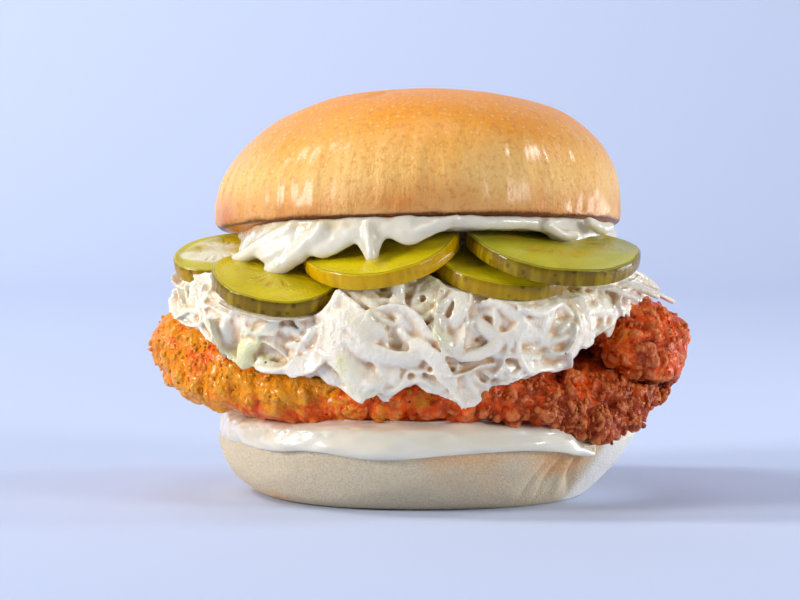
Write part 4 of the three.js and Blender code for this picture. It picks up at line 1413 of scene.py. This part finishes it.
def makeSlawSkin(name, seed, side, fromTurn, toTurn, voxel, placed=(), lines=()):
    # Cut cabbage, drops of sauce and the heap's side fused into one coated mass
    draw = np.random.default_rng(seed)
    batches = [shredTubes(draw, kind[side], fromTurn, toTurn, kind) for kind in shredKinds.values()]
    batches += placed
    parts = [heapBand(fromTurn - 0.05, toTurn + 0.05, 300)]
    parts += [tubeBatch(rings) for rings in batches] + list(lines)
    drops = slaw["drops"]
    dropTurns = fromTurn + (toTurn - fromTurn) * draw.random(drops)
    spots = slawPlace(dropTurns, 0.4 + 0.4 * draw.random(drops))
    parts.append(scatterBalls(spots, 0.9 + 1.5 * draw.random((drops, 3)), draw, 0.3, 8, 10))
    tones = [np.repeat(draw.random(len(rings)) ** 2.2, rings.shape[1] * rings.shape[2]) for rings in batches]
    toned = [pressed(rings.reshape(-1, 3)) for rings in batches]
    mesh = fused(name, *joinedPoints(parts), voxel)
    movePoints(mesh, pressed(evened(mesh, 2, 0.5)))
    points = pointsOf(mesh)
    inside = (pastRim(points) < -3.6) & (points[:, 2] - slaw["edgeTop"] < -1)
    mesh = thinned(mesh, inside, slaw[side + "Keep"])
    points = pointsOf(mesh)
    # Sunk places below the rim that face down, marked deep for painted shade
    facing = ease(-0.2, 0.3, normalsOf(mesh)[:, 2] * -1 + 0.6)
    sunk = ease(-1.0, -2.6, pastRim(points)) * ease(56, 53, points[:, 2]) * facing
    setValue(mesh, "crest", 0.5 * crests(mesh, 8, 0.5) + 0.5 * crests(mesh, 40, 1.6))
    setValue(mesh, "deep", sunk * ease(0.2, 0.6, softNoise(points, 9, 77) + 0.3))
    setValue(mesh, "tone", carried(np.concatenate(toned), np.concatenate(tones), points, 1.1))
    movePoints(mesh, points + shift)
    return mesh


def makeSlawCore():
    # What backs the coated mass and fills the heap: its smooth rings, about 2 mm inside
    around = (np.arange(120) / 120 * fullTurn)[None]
    up = np.linspace(0, 1, 60)[:, None]
    grid = slawPlace(around + 0 * up, up + 0 * around)
    grid[..., :2] *= 0.965
    grid = pressed(grid.reshape(-1, 3)).reshape(grid.shape)
    mesh = closedSkin("slaw_core", grid + shift)
    # A crest of 0.35 gives the core part of the painted hollow shade
    setValue(mesh, "crest", np.full(len(mesh.vertices), 0.35))
    setValue(mesh, "deep", np.full(len(mesh.vertices), 0.0))
    setValue(mesh, "tone", np.full(len(mesh.vertices), 0.1))
    return mesh


# Sauce on the lower bun
lowerSauce = {
    "top": 21.4,
    "lip": 2.3,
    "drop": 3.6,
    "leftDraw": 1.4,
    "tailFrom": -0.98,  # the turns between which it thins out to a curved tail on the right
    "tailTo": -0.68,
    "backTail": 0.6,
    "rises": [(-1.15, 0.22, 1.9), (-2.15, 0.2, 1.3)],  # where its lower edge is higher: turn, width and rise
    "columns": 520,
    "rows": 110,
}


def lowerSauceRings(around):
    # A pad whose lip hangs over the bun's edge, each ring a distance out and a height
    about = turnBetween(around, 0)
    tail = ease(lowerSauce["tailFrom"], lowerSauce["tailTo"], about) * ease(0.4, 0, about)
    ended = ease(lowerSauce["tailTo"] - 0.03, lowerSauce["tailTo"] + 0.09, about)
    shown = 1 - ended * ease(lowerSauce["backTail"] + 0.25, lowerSauce["backTail"], about)
    ripple = 0.6 * np.sin(6 * around + 1) + 0.4 * np.sin(11 * around + 2)
    frontShare = ease(-0.5, 0.9, -np.sin(around))
    leftShare = ease(0.75, 1, -np.cos(around))
    rim = heelRadius(around, 1)
    full = lowerSauce["lip"] * (0.25 + 0.75 * frontShare) + 0.3 * ripple - lowerSauce["leftDraw"] * leftShare
    lip = full * (1 - 0.6 * tail) * shown - 4 * (1 - shown)
    hang = lowerSauce["drop"] * (0.5 + 0.5 * frontShare) + 0.6 * ripple + 1.6 * tail
    hang = hang - sum(rise * hill(about, at, width) for at, width, rise in lowerSauce["rises"])
    low = heel["height"] - hang * shown
    top = lowerSauce["top"] - 6.2 * tail * shown
    under = heel["height"] - 1 + 0 * around
    outs = [0 * rim, rim - 4, rim + lip - 2.4 * shown, rim + lip - 0.7, rim + lip, rim + lip - 0.5,
            rim + lip - 1.9, rim - 3.5, rim - 9, 0 * rim]
    edge = top - 1.3 * frontShare
    squeezed = 0.5 * np.sin(9 * around + 1) + 0.4 * np.sin(17 * around)
    heights = [under, under, low + 0.2, low, low + 0.3 * (edge - low), edge - 0.25 * (edge - low),
               edge + 0.3, edge + (1.7 + 0.6 * squeezed) * shown, top + 1.1, lowerSauce["top"] + 0 * around]
    return np.stack([np.stack(outs, axis=-1), np.stack(heights, axis=-1)], axis=-1)


def makeLowerSauce():
    # The rings as a smooth curve, with slow ripples, and a wrinkled film at the upper left
    around = np.arange(lowerSauce["columns"]) / lowerSauce["columns"] * fullTurn
    out, z = np.moveaxis(splined(lowerSauceRings(around), lowerSauce["rows"]), -1, 0)
    out = np.maximum(out, 0)
    x = heel["middle"][0] + out * np.cos(around)[:, None]
    y = heel["middle"][1] + out * np.sin(around)[:, None]
    grid = np.moveaxis(np.stack([x, y, z], axis=-1), 0, 1)
    edge = ease(30, 46, np.hypot(grid[..., 0], grid[..., 1]))
    slow = 0.6 * softNoise(grid * np.array([0.45, 1, 1.6]), 5, 91)
    slow = slow + 0.3 * softNoise(grid * np.array([0.6, 1, 1.4]), 2.6, 92)
    film = ease(18.2, 19.6, grid[..., 2]) * ease(10, -25, grid[..., 0])
    folds = 0.35 * softNoise(grid * np.array([1, 1, 2.2]), 2.0, 93) * film
    outward = grid - np.array([0, 0, 18])
    outward /= np.linalg.norm(outward, axis=-1, keepdims=True)
    grid = grid + outward * ((slow + folds) * edge)[..., None]
    mesh = closedSkin("lower_sauce", grid + shift)
    setValue(mesh, "crest", crests(mesh, 30, 0.8))
    return mesh


# Sauce under the upper bun
upperSauce = {
    "rim": 49,
    "leftRim": 44.5,
    "pad": 3.4,
    "lipThickness": 2.2,
    "mostDrop": 13,
    "columns": 420,
    "rows": 80,
    "voxel": 0.5,
}
# Where it runs down: turn, width, drop and flow
runs = np.array([[-2.74, 0.09, 8, 3.5], [-2.38, 0.15, 6.5, 3.4], [-2.05, 0.17, 6.2, 1],
                 [-1.81, 0.045, 8.5, -0.5], [-1.62, 0.12, 4, 0.3], [-0.69, 0.16, 6, 0.6],
                 [-0.3, 0.17, 3.4, 1.5], [0.55, 0.14, 4.5, 0.5], [1.25, 0.1, 6, 1.5],
                 [1.85, 0.16, 3.5, 0.6], [2.2, 0.07, 5.5, 1.2]])
# Drips and strands: the points each runs through and its thickness there
strands = [
    [(-31, -38, 67.5, 2.4), (-37, -35, 64, 2.2), (-43, -31, 60.5, 1.9), (-48.5, -26.5, 57.6, 1.3)],
    [(-24, -43.5, 68, 2.4), (-29, -41, 62.4, 2.4), (-33.5, -38.6, 59, 2.2), (-37, -36.5, 57.6, 1.5)],
    [(-13.2, -47.5, 68.5, 1.6), (-12.8, -50.2, 64.8, 1.1), (-12.2, -51, 61.9, 1.5)],
    [(-5.5, -48.5, 66.2, 0.9), (-1, -49.5, 67.6, 1.2), (3.5, -49, 69.3, 1.3), (8, -48, 70.5, 1.0)],
    [(30, -40, 68.5, 1.6), (33, -39, 66.4, 1.5), (36.5, -36.5, 66.2, 1.2)],
    [(40, -32, 69, 1.4), (43, -29, 67.2, 1.5), (45.5, -25.5, 67.6, 1.1)],
]


def beaded(strand, count=26):
    # Balls strung close together along a smooth curve through the strand's points
    knots = splined(np.array([strand], float), count)[0]
    sizes = np.repeat(knots[:, 3:], 3, axis=1)
    return scatterBalls(knots[:, :3], sizes, np.random.default_rng(1), 0, 9, 12)


def makeUpperSauce():
    # A pad with a hanging rim in the bun's own frame, the part's rings as a smooth curve, and its drips
    around = np.arange(upperSauce["columns"]) / upperSauce["columns"] * fullTurn
    left = ease(0.72, 0.98, -np.cos(around))
    rim = upperSauce["rim"] + (upperSauce["leftRim"] - upperSauce["rim"]) * left
    near = [hill(turnBetween(around, run[0]), 0, run[1]) for run in runs]
    pad = upperSauce["pad"]
    drop = pad + np.minimum(upperSauce["mostDrop"], sum(run[2] * share for run, share in zip(runs, near)))
    flow = sum(run[3] * share for run, share in zip(runs, near))
    lip = upperSauce["lipThickness"]
    outs = [0 * rim, rim - 6, rim - lip + 0.45 * flow, rim - lip + flow, rim - 0.4 + flow, rim + 0.3 + flow,
            rim + 0.5 + 0.45 * flow, rim, rim - 0.8, rim - 9, 0 * rim]
    heights = [0 * rim - pad, 0 * rim - pad, -pad - 0.55 * (drop - pad), 0.3 - drop, -drop, 1.2 - drop,
               -0.45 * drop, 0 * rim - 0.9, 0 * rim - 0.2, 0 * rim - 0.2, 0 * rim - 0.2]
    rings = np.stack([np.stack(outs, axis=-1), np.stack(heights, axis=-1)], axis=-1)
    out, z = np.moveaxis(splined(rings, upperSauce["rows"]), -1, 0)
    out = np.maximum(out, 0)
    grid = np.stack([out * np.cos(around)[:, None], out * np.sin(around)[:, None], z], axis=-1)
    grid = crownPlaced(np.moveaxis(grid, 0, 1))
    parts = [gridParts(grid)] + [beaded(strand) for strand in strands]
    mesh = fused("upper_sauce", *joinedPoints(parts), upperSauce["voxel"])
    movePoints(mesh, evened(mesh, 8, 0.6))
    points = pointsOf(mesh)
    waver = 0.3 * softNoise(points, 4, 95) + 0.12 * softNoise(points, 1.6, 96)
    movePoints(mesh, points + normalsOf(mesh) * waver[:, None] + shift)
    # Painted shade under the crown's cut at the left, and the crust showing through the thin sauce
    cut = crown["cutHeight"] + points[:, 1] * math.tan(-crown["lean"])
    film = 0.5 * ease(4.5, 1.5, cut - points[:, 2]) * ease(-5, -25, points[:, 0])
    setValue(mesh, "crest", crests(mesh, 30, 0.8) - film)
    return mesh


bpy.context.scene.view_settings.view_transform = "Standard"
print("making the materials")
crust = crustMaterial()
sauce = sauceMaterial()
batter = batterMaterial()
creamy = slawMaterial()
pickle = pickleMaterial()

print("shaping the bun")
addPiece("crown_baked", makeCrown(), crust, ["bun_crown"])
addPiece("heel_floury", makeHeel(), crumbMaterial(), ["bun_heel"])

print("shaping the sauces")
addPiece("sauce_lower", makeLowerSauce(), sauce, ["lower_sauce"])
addPiece("sauce_upper", makeUpperSauce(), sauce, ["upper_sauce"])

print("shaping the fillet")
filletMesh = makeFillet()
addPiece("fillet_fried", filletMesh, batter, ["chicken_fillet"])
addPiece("fillet_crumbs", makeCrumbs(filletMesh), batter)

print("shaping the pickles")
for number, (name, slice) in enumerate(slices.items()):
    addPiece(name + "_slice", makeSlice(name, slice, number), pickle, [name])

print("shaping the slaw")
addPiece("slaw_core", makeSlawCore(), creamy, ["slaw"])
rimLines = [underRim(slices["pickle_front_left"], -2.5, -0.9, 1.2),
            underRim(slices["pickle_front_right"], -1.15, -0.3, 0.5)]
frontSkin = makeSlawSkin("slaw_front", 31, "front", -2.75, -0.35, slaw["frontVoxel"],
                         [placedTubes(), farTubes()], rimLines)
addPiece("slaw_front", frontSkin, creamy)
backSkin = makeSlawSkin("slaw_back", 32, "back", -0.35, fullTurn - 2.75, slaw["backVoxel"])
addPiece("slaw_back", backSkin, creamy)


# Stage, light and camera
stageLooks = {
    "color": tint(200, 211, 238),
    "floorWidth": 4.0,
    "front": -2.0,
    "back": 1.4,
    "sweep": 0.6,
    "height": 2.6,
    "rows": 24,
    "sky": (0.88, 0.93, 1, 1),
    "skyStrength": 0.18,
}


def makeStage():
    # A floor that turns up into a backdrop by a quarter circle
    angle = np.linspace(0, np.pi / 2, stageLooks["rows"])
    sweep, back = stageLooks["sweep"], stageLooks["back"]
    y = np.concatenate([[stageLooks["front"]], back - sweep + sweep * np.sin(angle), [back]])
    z = np.concatenate([[0], sweep * (1 - np.cos(angle)), [stageLooks["height"]]])
    x = np.array([-0.5, 0.5]) * stageLooks["floorWidth"]
    grid = np.stack([x[None] + 0 * y[:, None], y[:, None] + 0 * x, z[:, None] + 0 * x], axis=-1)
    index = np.arange(len(y) * 2).reshape(len(y), 2)
    faces = np.stack([index[:-1, 0], index[:-1, 1], index[1:, 1], index[1:, 0]], axis=-1)
    floor = bpy.data.objects.new("studio_floor", meshOf("studio_floor", grid.reshape(-1, 3) / mm, [faces]))
    bpy.context.scene.collection.objects.link(floor)
    material, tree, shader = newMaterial("studio_paper")
    setShader(tree, shader, Base_Color=stageLooks["color"], Roughness=0.9, Specular_IOR_Level=0.1)
    floor.data.materials.append(material)


# Each light: where it stands, where it aims, its size and power, in metres and watts
lights = {
    "left_box": {"at": (-1.42, -0.52, 0.52), "aim": (0, 0, 0.05), "size": (0.45, 0.45), "power": 18.6,
                 "color": (1, 0.97, 0.93)},
    "right_box": {"at": (1.28, -0.8, 0.5), "aim": (0, 0, 0.05), "size": (0.5, 0.4), "power": 9.5,
                  "color": (1, 0.98, 0.96)},
    "low_right": {"at": (0.5, 0.14, 0.06), "aim": (0.04, 0, 0.01), "size": (0.28, 0.1), "power": 1.0,
                  "color": (0.94, 0.97, 1)},
    "gloss_box": {"at": (1.05, 0.12, 0.88), "aim": (0, 0, 0.08), "size": (0.22, 0.2), "power": 2.2,
                  "color": (0.94, 0.97, 1)},
    "top_fill": {"at": (-0.1, 0.1, 1.6), "aim": (0, 0, 0.05), "size": (0.9, 0.7), "power": 3.2,
                 "color": (1, 0.99, 0.97)},
    "paper_light": {"at": (-1.3, 0.1, 1.4), "aim": (-0.8, 1.3, 0.7), "size": (0.6, 0.6), "power": 24,
                    "color": (1, 1, 1)},
}


def makeLights():
    # Soft boxes turned to what they aim at, and a faint pale sky
    for name, looks in lights.items():
        lamp = bpy.data.lights.new(name, "AREA")
        lamp.shape = "RECTANGLE"
        lamp.size, lamp.size_y = looks["size"]
        lamp.energy = looks["power"]
        lamp.color = looks["color"]
        holder = bpy.data.objects.new(name, lamp)
        holder.location = looks["at"]
        direction = Vector(looks["aim"]) - Vector(looks["at"])
        holder.rotation_euler = direction.to_track_quat("-Z", "Y").to_euler()
        bpy.context.scene.collection.objects.link(holder)
    world = bpy.context.scene.world or bpy.data.worlds.new("studio")
    bpy.context.scene.world = world
    world.use_nodes = True
    background = world.node_tree.nodes["Background"]
    background.inputs[0].default_value = stageLooks["sky"]
    background.inputs[1].default_value = stageLooks["skyStrength"]


cameraLooks = {"at": (-5.5, -850, 104), "aim": (-5.5, 0, 48), "lens": 153, "sensor": 36}


def makeCamera():
    # The photo's viewing angle, from 850 mm in front
    lens = bpy.data.cameras.new("photo_camera")
    lens.lens = cameraLooks["lens"]
    lens.sensor_width = cameraLooks["sensor"]
    lens.clip_start = 0.05
    holder = bpy.data.objects.new("photo_camera", lens)
    at = Vector(np.array(cameraLooks["at"]) + shift) * mm
    aim = Vector(np.array(cameraLooks["aim"]) + shift) * mm
    holder.location = at
    holder.rotation_euler = (aim - at).to_track_quat("-Z", "Y").to_euler()
    bpy.context.scene.collection.objects.link(holder)
    bpy.context.scene.camera = holder


print("setting the stage")
makeStage()
makeLights()
makeCamera()
